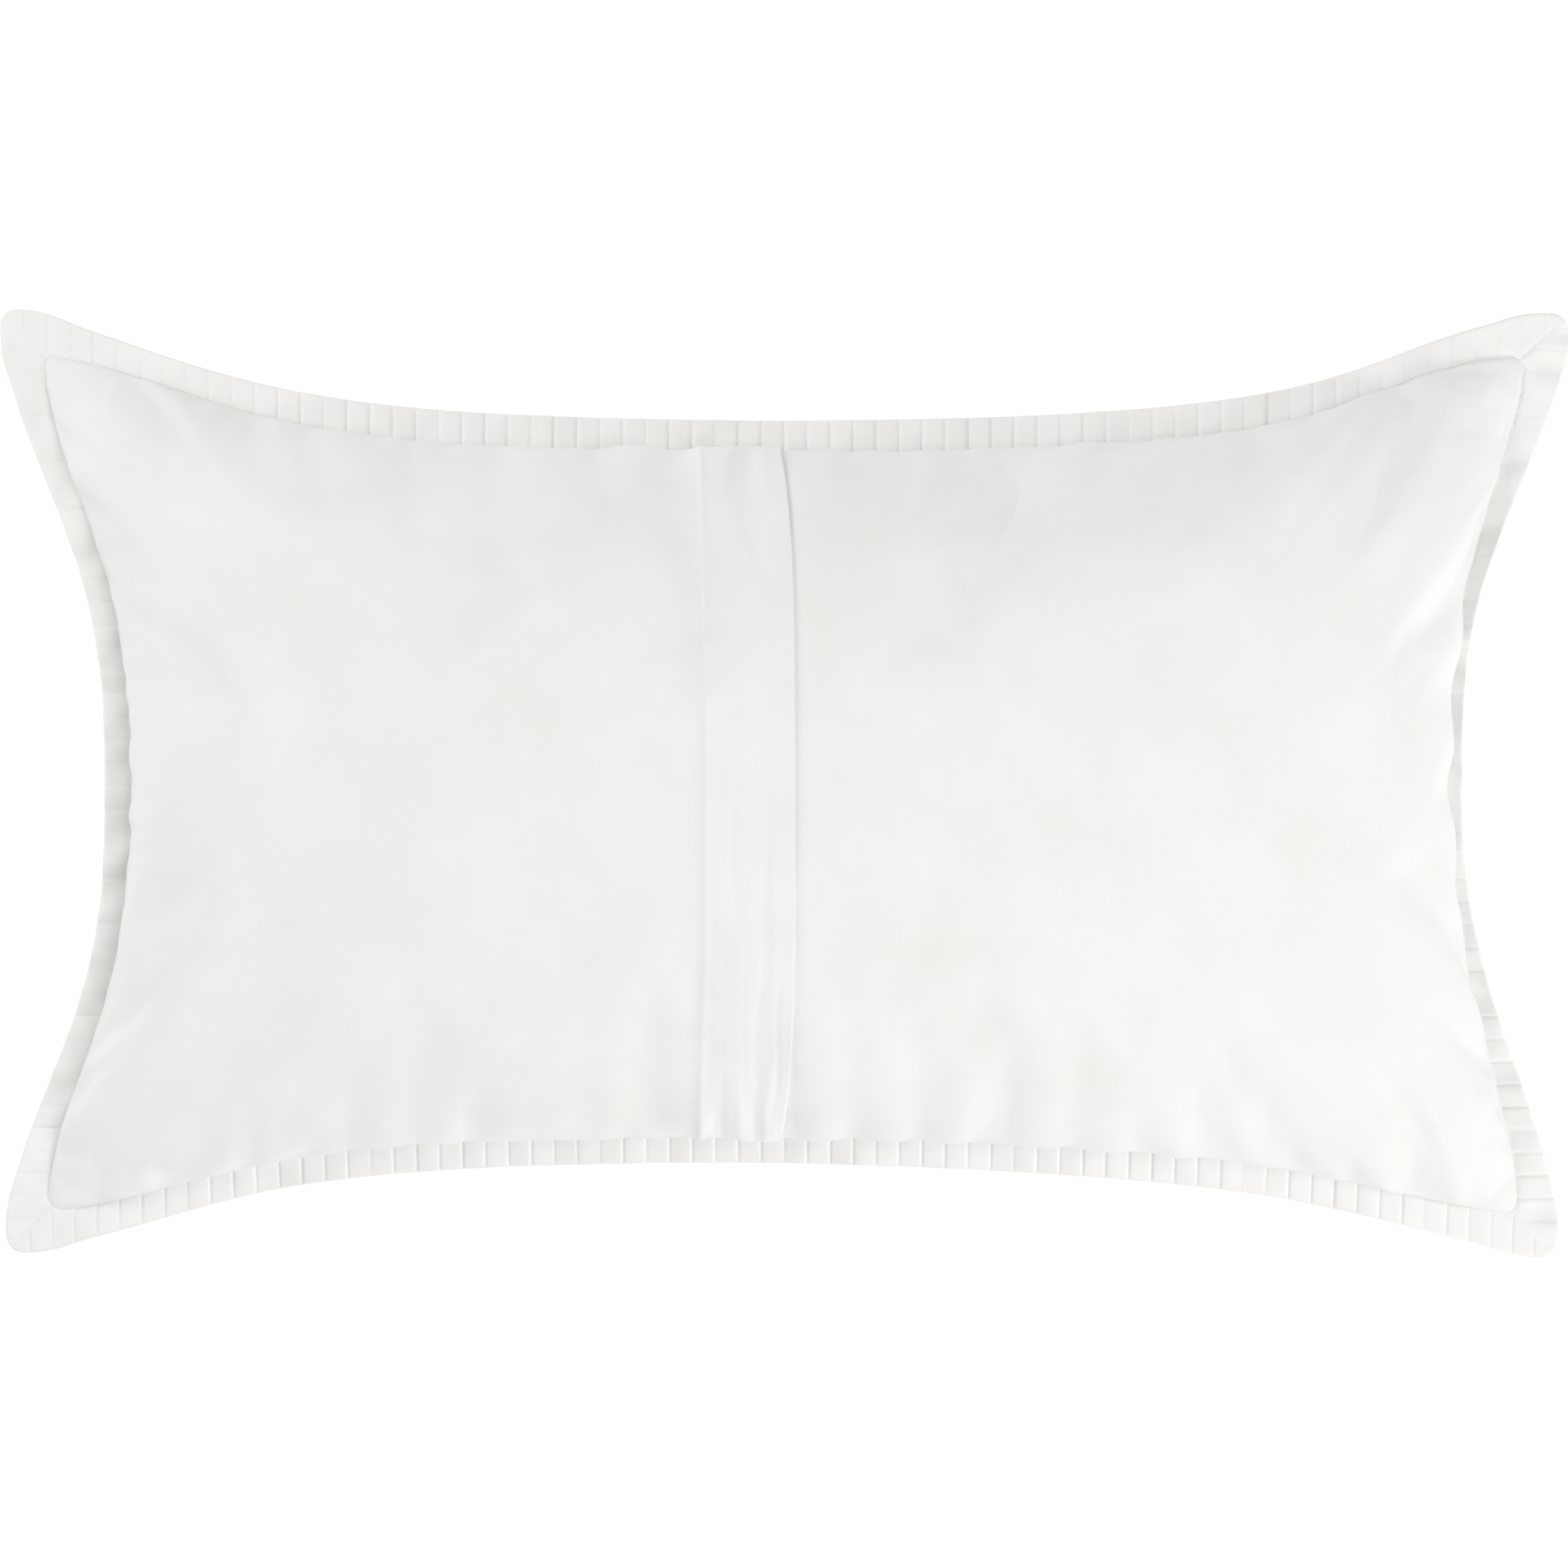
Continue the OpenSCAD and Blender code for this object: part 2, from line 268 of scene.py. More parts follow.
def closed_sheet(outer: Array, inner: Array) -> tuple[Array, Array]:
    """Closes two facing grids of points into one thin solid.

    Args:
        outer: Grid of points whose normal points out of the solid.
        inner: Grid of the same shape on the cloth's other face.

    Returns:
        The vertices and the quads, with a wall of quads round the rim.
    """
    index = np.arange(outer.shape[0] * outer.shape[1]).reshape(outer.shape[:2])
    rim = np.concatenate([index[:, 0], index[-1, 1:], index[-2::-1, -1], index[0, -2:0:-1]])
    after = np.roll(rim, -1)
    below = index.size
    wall = np.stack([after, rim, rim + below, after + below], axis=-1)
    quads = np.concatenate([cells(index), cells(index + below)[:, ::-1], wall])
    return np.concatenate([outer.reshape(-1, 3), inner.reshape(-1, 3)]), quads


def facing(outer: Array, inner: Array, side: Side) -> tuple[Array, Array]:
    """Closes a sheet whose grids both run as the back's does, so that the front's is turned over."""
    return closed_sheet(outer, inner) if side is Side.BACK else closed_sheet(inner, outer)


def stitches(centres: Array, heading: Array, normal: Array, length: float,
             radius: float) -> tuple[Array, Array]:
    """Makes one short thread at each place, its two ends dipping into the cloth.

    Formula: four six-sided rings along each thread, the end rings a third as thick and lower.

    Args:
        centres: Middle of each stitch.
        heading: Unit direction of each stitch.
        normal: Unit direction out of the cloth at each stitch.
        length: Length of a stitch.
        radius: Radius of the thread.

    Returns:
        The vertices and the quads of all the stitches.
    """
    along = np.array([-1, -0.6, 0.6, 1]) * length / 2
    thick = np.array([0.35, 1, 1, 0.35]) * radius
    dip = np.array([-0.8, 0, 0, -0.8]) * radius
    rings, sides = 4, 6
    turn = np.arange(sides) * 2 * np.pi / sides
    side = np.cross(heading, normal)
    place = centres[:, None, None, :] + heading[:, None, None, :] * along[:, None, None]
    out = normal[:, None, None, :] * (dip[:, None] + thick[:, None] * np.sin(turn))[..., None]
    across = side[:, None, None, :] * (thick[:, None] * np.cos(turn))[..., None]
    points = place + out + across
    ring = np.arange(rings * sides).reshape(rings, sides)
    beside = np.roll(ring, -1, axis=1)
    skin = np.stack([ring[:-1], ring[1:], beside[1:], beside[:-1]], axis=-1).reshape(-1, 4)
    first = np.array([[0, 1, 2, 3], [0, 3, 4, 5]])
    last = first[:, ::-1] + (rings - 1) * sides
    one = np.concatenate([skin, first, last])
    quads = (one + np.arange(len(centres))[:, None, None] * ring.size).reshape(-1, 4)
    return points.reshape(-1, 3), quads


def evenly(path: Array, pitch: float, inset: float = 0.0) -> tuple[Array, Array]:
    """Spaces places evenly along a path.

    Args:
        path: Close-set points of the path.
        pitch: Distance from place to place.
        inset: Length left free at both ends.

    Returns:
        The places, and for each its place in the list of the path's points.
    """
    run = np.concatenate([[0], np.cumsum(np.linalg.norm(np.diff(path, axis=0), axis=1))])
    even = np.arange(inset, run[-1] - inset, pitch)
    places = np.stack([np.interp(even, run, path[:, k]) for k in range(3)], axis=-1)
    return places, np.interp(even, run, np.arange(len(path)))


def join_parts(parts: list[tuple[Array, Array]]) -> tuple[Array, Array]:
    """Puts the vertices and quads of several parts into one list each.

    Args:
        parts: The vertices and the quads of each part.

    Returns:
        All the vertices and all the quads.
    """
    starts = np.cumsum([0] + [len(vertices) for vertices, _ in parts[:-1]])
    quads = np.concatenate([quad + start for (_, quad), start in zip(parts, starts)])
    return np.concatenate([vertices for vertices, _ in parts]), quads


def add_piece(name: str, shape: tuple[Array, Array], uv: Array, material: bpy.types.Material,
              nodes: tuple[str, ...], body: str | None = PILLOW) -> bpy.types.Object:
    """Makes one piece of the pillow from its vertices and quads.

    Args:
        name: Name of the piece.
        shape: Vertices and quads.
        uv: Place of each vertex on the flat cloth, in metres.
        material: Finish of the piece.
        nodes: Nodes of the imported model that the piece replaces.
        body: Body that the piece rides on, or None when it will be bent between two.

    Returns:
        The piece.
    """
    vertices, quads = shape
    mesh = bpy.data.meshes.new(name)
    mesh.vertices.add(len(vertices))
    mesh.vertices.foreach_set("co", vertices.astype(np.float32).ravel())
    mesh.loops.add(quads.size)
    mesh.loops.foreach_set("vertex_index", quads.astype(np.int32).ravel())
    mesh.polygons.add(len(quads))
    mesh.polygons.foreach_set("loop_start", np.arange(0, quads.size, 4, dtype=np.int32))
    mesh.polygons.foreach_set("use_smooth", np.ones(len(quads), dtype=bool))
    mesh.update(calc_edges=True)
    layer = mesh.uv_layers.new(name=CLOTH_UV)
    layer.uv.foreach_set("vector", uv[quads.ravel()].astype(np.float32).ravel())
    mesh.set_sharp_from_angle(angle=np.radians(55))
    mesh.materials.append(material)
    piece = bpy.data.objects.new(name, mesh)
    bpy.context.scene.collection.objects.link(piece)
    if body is not None:
        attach(piece, body)
    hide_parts(*nodes)
    LOG.info("%s: %d triangles", name, 2 * len(quads))
    return piece


def add_stitches(name: str, shape: tuple[Array, Array], material: bpy.types.Material, node: str,
                 body: str | None = PILLOW) -> bpy.types.Object:
    """Makes one piece of stitches.

    Args:
        name: Name of the piece.
        shape: Vertices and quads.
        material: The thread.
        node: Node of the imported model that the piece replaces.
        body: Body that the piece rides on, or None when it will be bent between two.

    Returns:
        The piece.
    """
    return add_piece(name, shape, shape[0][:, :2], material, (node,), body)


# ---- Finishes ----


def linear(colour: str) -> tuple[float, float, float, float]:
    """Turns a colour from sRGB to linear.

    Args:
        colour: Red, green and blue as six hex digits.

    Returns:
        Linear red, green and blue, and an alpha of 1.
    """
    shares = [int(colour[i : i + 2], 16) / 255 for i in (0, 2, 4)]
    red, green, blue = (s / 12.92 if s <= 0.04045 else ((s + 0.055) / 1.055) ** 2.4 for s in shares)
    return red, green, blue, 1.0


def add_node(tree: bpy.types.NodeTree, kind: str, settings: dict | None = None,
             inputs: dict | None = None) -> bpy.types.Node:
    """Adds a node with its settings, input values and links.

    Args:
        tree: Tree to add it to.
        kind: Type name of the node.
        settings: Property names and values.
        inputs: Input names or numbers, each with a value or the socket to link from.

    Returns:
        The node.
    """
    node = tree.nodes.new(kind)
    for key, value in (settings or {}).items():
        setattr(node, key, value)
    for key, value in (inputs or {}).items():
        if isinstance(value, bpy.types.NodeSocket):
            tree.links.new(value, node.inputs[key])
        else:
            node.inputs[key].default_value = value
    return node


def empty_material(name: str) -> tuple[bpy.types.Material, bpy.types.NodeTree]:
    """Makes a material with nothing in its tree.

    Args:
        name: Name of the material.

    Returns:
        The material and its tree.
    """
    material = bpy.data.materials.new(name)
    material.use_nodes = True
    material.node_tree.nodes.clear()
    return material, material.node_tree


def bands(pitch: float) -> float:
    """Gives the scale of a wave texture whose bands are a pitch apart: it turns 20 times a unit."""
    return 2 * np.pi / (20 * pitch)


@dataclass(frozen=True)
class WovenCloth:
    """A woven cotton: two crossing sets of threads, uneven yarn and a soft fuzz of fibre ends."""

    name: str
    light: str
    shade: str
    roughness: float
    sheen: float
    weave_pitch: float
    weave_depth: float
    slub_length: float = 26 * MM
    slub_width: float = 1.5 * MM
    slub_depth: float = 0.05 * MM
    drift_size: float = 70 * MM
    slub_share: float = 0.35
    shade_until: float = 0.35
    light_from: float = 0.85

    def material(self) -> bpy.types.Material:
        """Builds the cloth's material on its own flat coordinates.

        Returns:
            The material.
        """
        material, tree = empty_material(self.name)
        flat = add_node(tree, "ShaderNodeUVMap", {"uv_map": CLOTH_UV}).outputs["UV"]
        weave = self._weave(tree, flat)
        slub = self._slub(tree, flat)
        drift = add_node(tree, "ShaderNodeTexNoise", {"noise_dimensions": "2D"},
                         {"Vector": flat, "Scale": 1 / self.drift_size, "Detail": 3.0, "Roughness": 0.55})
        tone = add_node(tree, "ShaderNodeMath", {"operation": "MULTIPLY_ADD"},
                        {0: slub, 1: self.slub_share, 2: drift.outputs["Fac"]})
        ramp = add_node(tree, "ShaderNodeValToRGB", None, {"Fac": tone.outputs[0]})
        stops = ((self.shade_until, self.shade), (self.light_from, self.light))
        for stop, (place, colour) in zip(ramp.color_ramp.elements, stops):
            stop.position = place
            stop.color = linear(colour)
        slub_bump = add_node(tree, "ShaderNodeBump", None,
                             {"Height": slub, "Distance": self.slub_depth, "Strength": 1.0})
        weave_bump = add_node(tree, "ShaderNodeBump", None,
                              {"Height": weave, "Distance": self.weave_depth, "Strength": 1.0,
                               "Normal": slub_bump.outputs["Normal"]})
        surface = add_node(tree, "ShaderNodeBsdfPrincipled", None, {
            "Base Color": ramp.outputs["Color"],
            "Normal": weave_bump.outputs["Normal"],
            "Roughness": self.roughness,
            "Specular IOR Level": 0.35,
            "Sheen Weight": self.sheen,
            "Sheen Roughness": 0.45,
        })
        add_node(tree, "ShaderNodeOutputMaterial", None, {"Surface": surface.outputs["BSDF"]})
        return material

    def _weave(self, tree: bpy.types.NodeTree, flat: bpy.types.NodeSocket) -> bpy.types.NodeSocket:
        """Crosses two sets of round threads, each a sine across its own way, the higher one on top.

        Args:
            tree: The material's tree.
            flat: Place on the flat cloth.

        Returns:
            The height of the weave.
        """
        sets = [
            add_node(tree, "ShaderNodeTexWave",
                     {"wave_type": "BANDS", "bands_direction": way, "wave_profile": "SIN"},
                     {"Vector": flat, "Scale": bands(self.weave_pitch), "Distortion": 1.2,
                      "Detail": 1.0, "Detail Scale": 0.6})
            for way in ("X", "Y")
        ]
        return add_node(tree, "ShaderNodeMath", {"operation": "MAXIMUM"},
                        {0: sets[0].outputs["Fac"], 1: sets[1].outputs["Fac"]}).outputs[0]

    def _slub(self, tree: bpy.types.NodeTree, flat: bpy.types.NodeSocket) -> bpy.types.NodeSocket:
        """Makes uneven yarn: noise drawn out along each way of the weave, the two averaged.

        Args:
            tree: The material's tree.
            flat: Place on the flat cloth.

        Returns:
            The yarn's unevenness.
        """
        long_scale, wide_scale = 1 / self.slub_length, 1 / self.slub_width
        yarns = []
        for scale in ((long_scale, wide_scale, 1), (wide_scale, long_scale, 1)):
            place = add_node(tree, "ShaderNodeMapping", {"vector_type": "POINT"},
                             {"Vector": flat, "Scale": scale})
            yarn = add_node(tree, "ShaderNodeTexNoise", {"noise_dimensions": "2D"},
                            {"Vector": place.outputs["Vector"], "Scale": 1.0, "Detail": 4.0,
                             "Roughness": 0.6})
            yarns.append(yarn.outputs["Fac"])
        total = add_node(tree, "ShaderNodeMath", {"operation": "ADD"}, {0: yarns[0], 1: yarns[1]})
        return add_node(tree, "ShaderNodeMath", {"operation": "MULTIPLY"},
                        {0: total.outputs[0], 1: 0.5}).outputs[0]


@dataclass(frozen=True)
class MattedFibre:
    """Loose or needled polyester fibre: matte, lumpy, with fine crossed hairs."""

    name: str
    light: str
    shade: str
    lump_size: float
    lump_depth: float

    def material(self) -> bpy.types.Material:
        """Builds the fibre's material on object coordinates.

        Returns:
            The material.
        """
        material, tree = empty_material(self.name)
        place = add_node(tree, "ShaderNodeTexCoord").outputs["Object"]
        lumps = add_node(tree, "ShaderNodeTexNoise", None,
                         {"Vector": place, "Scale": 1 / self.lump_size, "Detail": 8.0, "Roughness": 0.7,
                          "Distortion": 1.5})
        ramp = add_node(tree, "ShaderNodeValToRGB", None, {"Fac": lumps.outputs["Fac"]})
        for stop, colour in zip(ramp.color_ramp.elements, (self.shade, self.light)):
            stop.color = linear(colour)
        bump = add_node(tree, "ShaderNodeBump", None,
                        {"Height": lumps.outputs["Fac"], "Distance": self.lump_depth})
        surface = add_node(tree, "ShaderNodeBsdfPrincipled", None, {
            "Base Color": ramp.outputs["Color"],
            "Normal": bump.outputs["Normal"],
            "Roughness": 0.95,
            "Specular IOR Level": 0.2,
            "Sheen Weight": 0.4,
            "Sheen Roughness": 0.6,
        })
        add_node(tree, "ShaderNodeOutputMaterial", None, {"Surface": surface.outputs["BSDF"]})
        return material


@dataclass(frozen=True)
class SewingThread:
    """Spun polyester thread: two plies twisted round each other, with a slight shine."""

    name: str
    colour: str
    twist_pitch: float = 0.5 * MM
    twist_depth: float = 0.05 * MM

    def material(self) -> bpy.types.Material:
        """Builds the thread's material, with slanting bands for its twist.

        Returns:
            The material.
        """
        material, tree = empty_material(self.name)
        place = add_node(tree, "ShaderNodeTexCoord").outputs["Object"]
        twist = add_node(tree, "ShaderNodeTexWave",
                         {"wave_type": "BANDS", "bands_direction": "DIAGONAL", "wave_profile": "SIN"},
                         {"Vector": place, "Scale": bands(self.twist_pitch)})
        bump = add_node(tree, "ShaderNodeBump", None,
                        {"Height": twist.outputs["Fac"], "Distance": self.twist_depth})
        surface = add_node(tree, "ShaderNodeBsdfPrincipled", None, {
            "Base Color": linear(self.colour),
            "Normal": bump.outputs["Normal"],
            "Roughness": 0.5,
            "Sheen Weight": 0.2,
            "Sheen Roughness": 0.35,
        })
        add_node(tree, "ShaderNodeOutputMaterial", None, {"Surface": surface.outputs["BSDF"]})
        return material


@dataclass(frozen=True)
class Finishes:
    """The pillow's materials, one for each kind of cloth, fibre and thread."""

    sateen: bpy.types.Material
    quilted_sateen: bpy.types.Material
    wadding: bpy.types.Material
    ticking: bpy.types.Material
    fibre: bpy.types.Material
    thread: bpy.types.Material

    @classmethod
    def make(cls) -> "Finishes":
        """Makes every finish.

        Returns:
            The finishes.
        """
        return cls(
            # Cotton sateen, bleached white: floats of yarn give it a soft low sheen, and the real
            # 0.15 mm threads are drawn at 0.8 mm so that the weave can be seen
            sateen=WovenCloth("cotton_sateen", "F8F7F5", "F3F2EF", roughness=0.72, sheen=0.22,
                              weave_pitch=0.8 * MM, weave_depth=0.03 * MM).material(),
            # The same sateen quilted to wadding, a touch warmer where it is doubled
            quilted_sateen=WovenCloth("quilted_cotton_sateen", "F9F8F6", "F4F3F0", roughness=0.74,
                                      sheen=0.2, weave_pitch=0.8 * MM, weave_depth=0.03 * MM,
                                      slub_length=18 * MM, drift_size=35 * MM).material(),
            # Needled polyester wadding: dead matte, faintly lumpy
            wadding=MattedFibre("polyester_wadding", "FAFAF8", "EDECE8", 6 * MM, 0.4 * MM).material(),
            # Plain cotton ticking of the insert: no sheen, a coarser plain weave
            ticking=WovenCloth("cotton_ticking", "F7F7F5", "EFEFEC", roughness=0.88, sheen=0.1,
                               weave_pitch=1.0 * MM, weave_depth=0.05 * MM).material(),
            # Lofted hollow polyester fibre: cloudy and matte
            fibre=MattedFibre("polyester_fibre", "FBFBFA", "EAEAE8", 14 * MM, 2.5 * MM).material(),
            # Spun polyester thread, white, with the slight shine of its plies
            thread=SewingThread("polyester_thread", "F9F8F5").material(),
        )


# ---- The body's shape ----


@dataclass(frozen=True)
class Body:
    """Shape of the filled body inside its seam."""

    half_length: float
    half_width: float
    long_sag: float
    short_sag: float
    seam_height: float
    back_loft: float
    front_loft: float
    flatness: float = 1.25
    rim_lift: float = 0.4 * MM
    long_bulge: float = 11 * MM
    left_bulge: float = 20.5 * MM
    right_bulge: float = 31 * MM
    corner: float = 8 * MM

    @classmethod
    def from_frame(cls) -> "Body":
        """Reads the body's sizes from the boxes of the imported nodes.

        Returns:
            The body.
        """
        low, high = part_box("front_panel")
        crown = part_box("closure_flap")[1].z
        strip_low, strip_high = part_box("flange_top_wadding")
        end_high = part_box("flange_left_wadding")[1]
        seam_height = (strip_low.z + strip_high.z) / 2
        rim = seam_height - high.z
        return cls(
            half_length=high.x,
            half_width=high.y,
            long_sag=high.y - strip_low.y,
            short_sag=high.x + end_high.x,
            seam_height=seam_height,
            back_loft=crown - seam_height - rim,
            front_loft=high.z - low.z,
        )

    def seam_y(self, x: Array) -> Array:
        """Gives the long seam's distance from the middle line at a place along it."""
        return self.half_width - self.long_sag * (1 - long_rise(x / self.half_length))

    def point(self, u: Array, v: Array, side: Side, depth: float = 0.0) -> Array:
        """Places points on one layer of the body.

        Formula: in plan the edges bow in between the corners, by the sag times one less the
        rise. The height is the loft times a dome, the product of one root for each way, which
        the front has pressed flat. Near each seam the surface also swells out past the seam,
        most at a third of the dome's height. The last square at each corner is drawn in to a
        quarter disc.

        Args:
            u: Places along the pillow, from -1 to 1.
            v: Places across it, from -1 to 1.
            side: The side of the body.
            depth: Depth of the layer under the outside of the cover.

        Returns:
            The points, with x, y and z last.
        """
        au, av = np.abs(u), np.abs(v)
        root_u, root_v = self.roots(u, v)
        open_u, open_v = 1 - long_rise(u), 1 - short_rise(v)
        short_bulge = np.where(u < 0, self.left_bulge, self.right_bulge)
        swell_u = short_bulge * open_v**0.8 * self._swell(root_u) * root_v**0.5
        swell_v = self.long_bulge * open_u**0.8 * self._swell(root_v) * root_u**0.5
        x = u * (self.half_length - depth - self.short_sag * open_v * au + swell_u * au)
        y = v * (self.half_width - depth - self.long_sag * open_u * av + swell_v * av)
        into_u = np.clip(1 - self.half_length * (1 - au) / self.corner, 0, 1)
        into_v = np.clip(1 - self.half_width * (1 - av) / self.corner, 0, 1)
        x = x - np.sign(u) * self.corner * into_u * (1 - np.sqrt(1 - into_v**2 / 2))
        y = y - np.sign(v) * self.corner * into_v * (1 - np.sqrt(1 - into_u**2 / 2))
        dome = root_u * root_v
        if side is Side.BACK:
            z = self.seam_height + self.rim_lift + (self.back_loft - depth) * dome
        else:
            pressed = self._press(self.flatness * dome)
            z = self.seam_height - self.rim_lift - (self.front_loft - depth) * pressed
        return np.stack(np.broadcast_arrays(x, y, z), axis=-1)

    def roots(self, u: Array, v: Array) -> tuple[Array, Array]:
        """Gives the dome's fullness along each way: a root of one less a power of the distance."""
        root_u = np.maximum(0, 1 - np.abs(u) ** 2.5) ** 0.55
        return root_u, np.maximum(0, 1 - np.abs(v) ** 2.1) ** 0.5

    @staticmethod
    def _swell(root: Array) -> Array:
        """Peaks at 1 where a third of the dome's height is reached, and is 0 at the seam."""
        peak = 0.33
        return root / peak * np.exp(1 - root / peak)

    @staticmethod
    def _press(fullness: Array) -> Array:
        """Presses the front flat where the pillow lies on something.

        Formula: fullness is cut off at 1, and a parabola rounds the bend over a soft stretch.

        Args:
            fullness: Fullness of the dome as if it hung free.

        Returns:
            The fullness as it lies.
        """
        soft = 0.12
        over = np.clip((fullness - 1 + soft) / (2 * soft), 0, 1)
        return np.where(fullness > 1 + soft, 1.0, fullness - soft * over**2)


@dataclass(frozen=True)
class Bell:
    """A soft local push on one edge, with its place and width along that edge."""

    push: float
    centre: float
    width: float

    def at(self, along: Array) -> Array:
        """Gives the push at places along the edge."""
        return self.push * hump(along, self.centre, self.width)


@dataclass(frozen=True)
class Settle:
    """How the lying pillow has settled a little out of true, seen from above."""

    half_length: float
    half_width: float
    slump: float = -5.6 * MM
    right_back: tuple[float, float] = (0.5 * MM, -3.5 * MM)
    left_back: tuple[float, float] = (0.0, 0.8 * MM)
    right_near: tuple[float, float] = (-7.0 * MM, 0.2 * MM)
    left_near: tuple[float, float] = (4.0 * MM, 3.4 * MM)
    near_belly: Bell = Bell(-9.0 * MM, 240 * MM, 190 * MM)
    near_belly_end: float = 450 * MM
    near_belly_fade: float = 150 * MM
    back_shoulder: Bell = Bell(5.2 * MM, 388 * MM, 55 * MM)
    side_belly: Bell = Bell(6.0 * MM, -115 * MM, 65 * MM)

    def apply(self, points: Array) -> Array:
        """Moves points in plan.

        Formula: the middle slumps towards the near edge, each corner shifts, and three bells
        push the edges out: the near one right of the middle, the far one beside its right
        corner, and the right one short of its middle. Each shift fades inwards as a power of
        the distance from the middle.

        Args:
            points: Points with x, y and z last.

        Returns:
            The settled points.
        """
        along, across = points[..., 0] / self.half_length, points[..., 1] / self.half_width
        moved = points.copy()
        moved[..., 1] += self.slump * (1 - long_rise(along))
        corners = {(1, 1): self.right_back, (-1, 1): self.left_back,
                   (1, -1): self.right_near, (-1, -1): self.left_near}
        for (right, back), shift in corners.items():
            pull = np.clip(right * along, 0, 1) ** 4 * np.clip(back * across, 0, 1) ** 3
            moved[..., 0] += shift[0] * pull
            moved[..., 1] += shift[1] * pull
        x, y = points[..., 0], points[..., 1]
        short_of_corner = smooth((self.near_belly_end - x) / self.near_belly_fade)
        moved[..., 1] += self.near_belly.at(x) * short_of_corner * np.clip(-across, 0, 1) ** 2
        moved[..., 1] += self.back_shoulder.at(x) * np.clip(across, 0, 1) ** 3
        moved[..., 0] += self.side_belly.at(y) * np.clip(along, 0, 1) ** 4
        return moved


@dataclass(frozen=True)
class Crease:
    """A soft ridge in the cloth along a short straight run, or a hollow where height is negative."""

    x: float
    y: float
    heading: float
    length: float
    width: float
    height: float
    meander: float = 1.2 * MM
    meander_length: float = 13 * MM
    softness: float = 0.7

    def at(self, x: Array, y: Array) -> Array:
        """Gives the crease's height.

        Formula: a bell across its line and a flatter one of the fourth power along it. The line
        meanders as a sine, whose phase follows from the crease's own place.

        Args:
            x: Places along the pillow.
            y: Places across it.

        Returns:
            The height at each place.
        """
        turn = np.radians(self.heading)
        along = (x - self.x) * np.cos(turn) + (y - self.y) * np.sin(turn)
        across = (y - self.y) * np.cos(turn) - (x - self.x) * np.sin(turn)
        across = across + self.meander * np.sin(along / self.meander_length + 900 * self.x)
        fade = np.exp(-((across / self.width) ** 2) - (2 * along / self.length) ** 4)
        return self.softness * self.height * fade


@dataclass(frozen=True)
class Pucker:
    """Gathers that a seam draws into the cloth beside it: their height and usual spacing."""

    height: float
    pitch: float
    seed: int

    def at(self, along: Array, seed: int) -> Array:
        """Gives the gathers' height along the seam, the side of the pillow adding its own seed."""
        return self.height * waves(along, self.pitch, seed + self.seed)


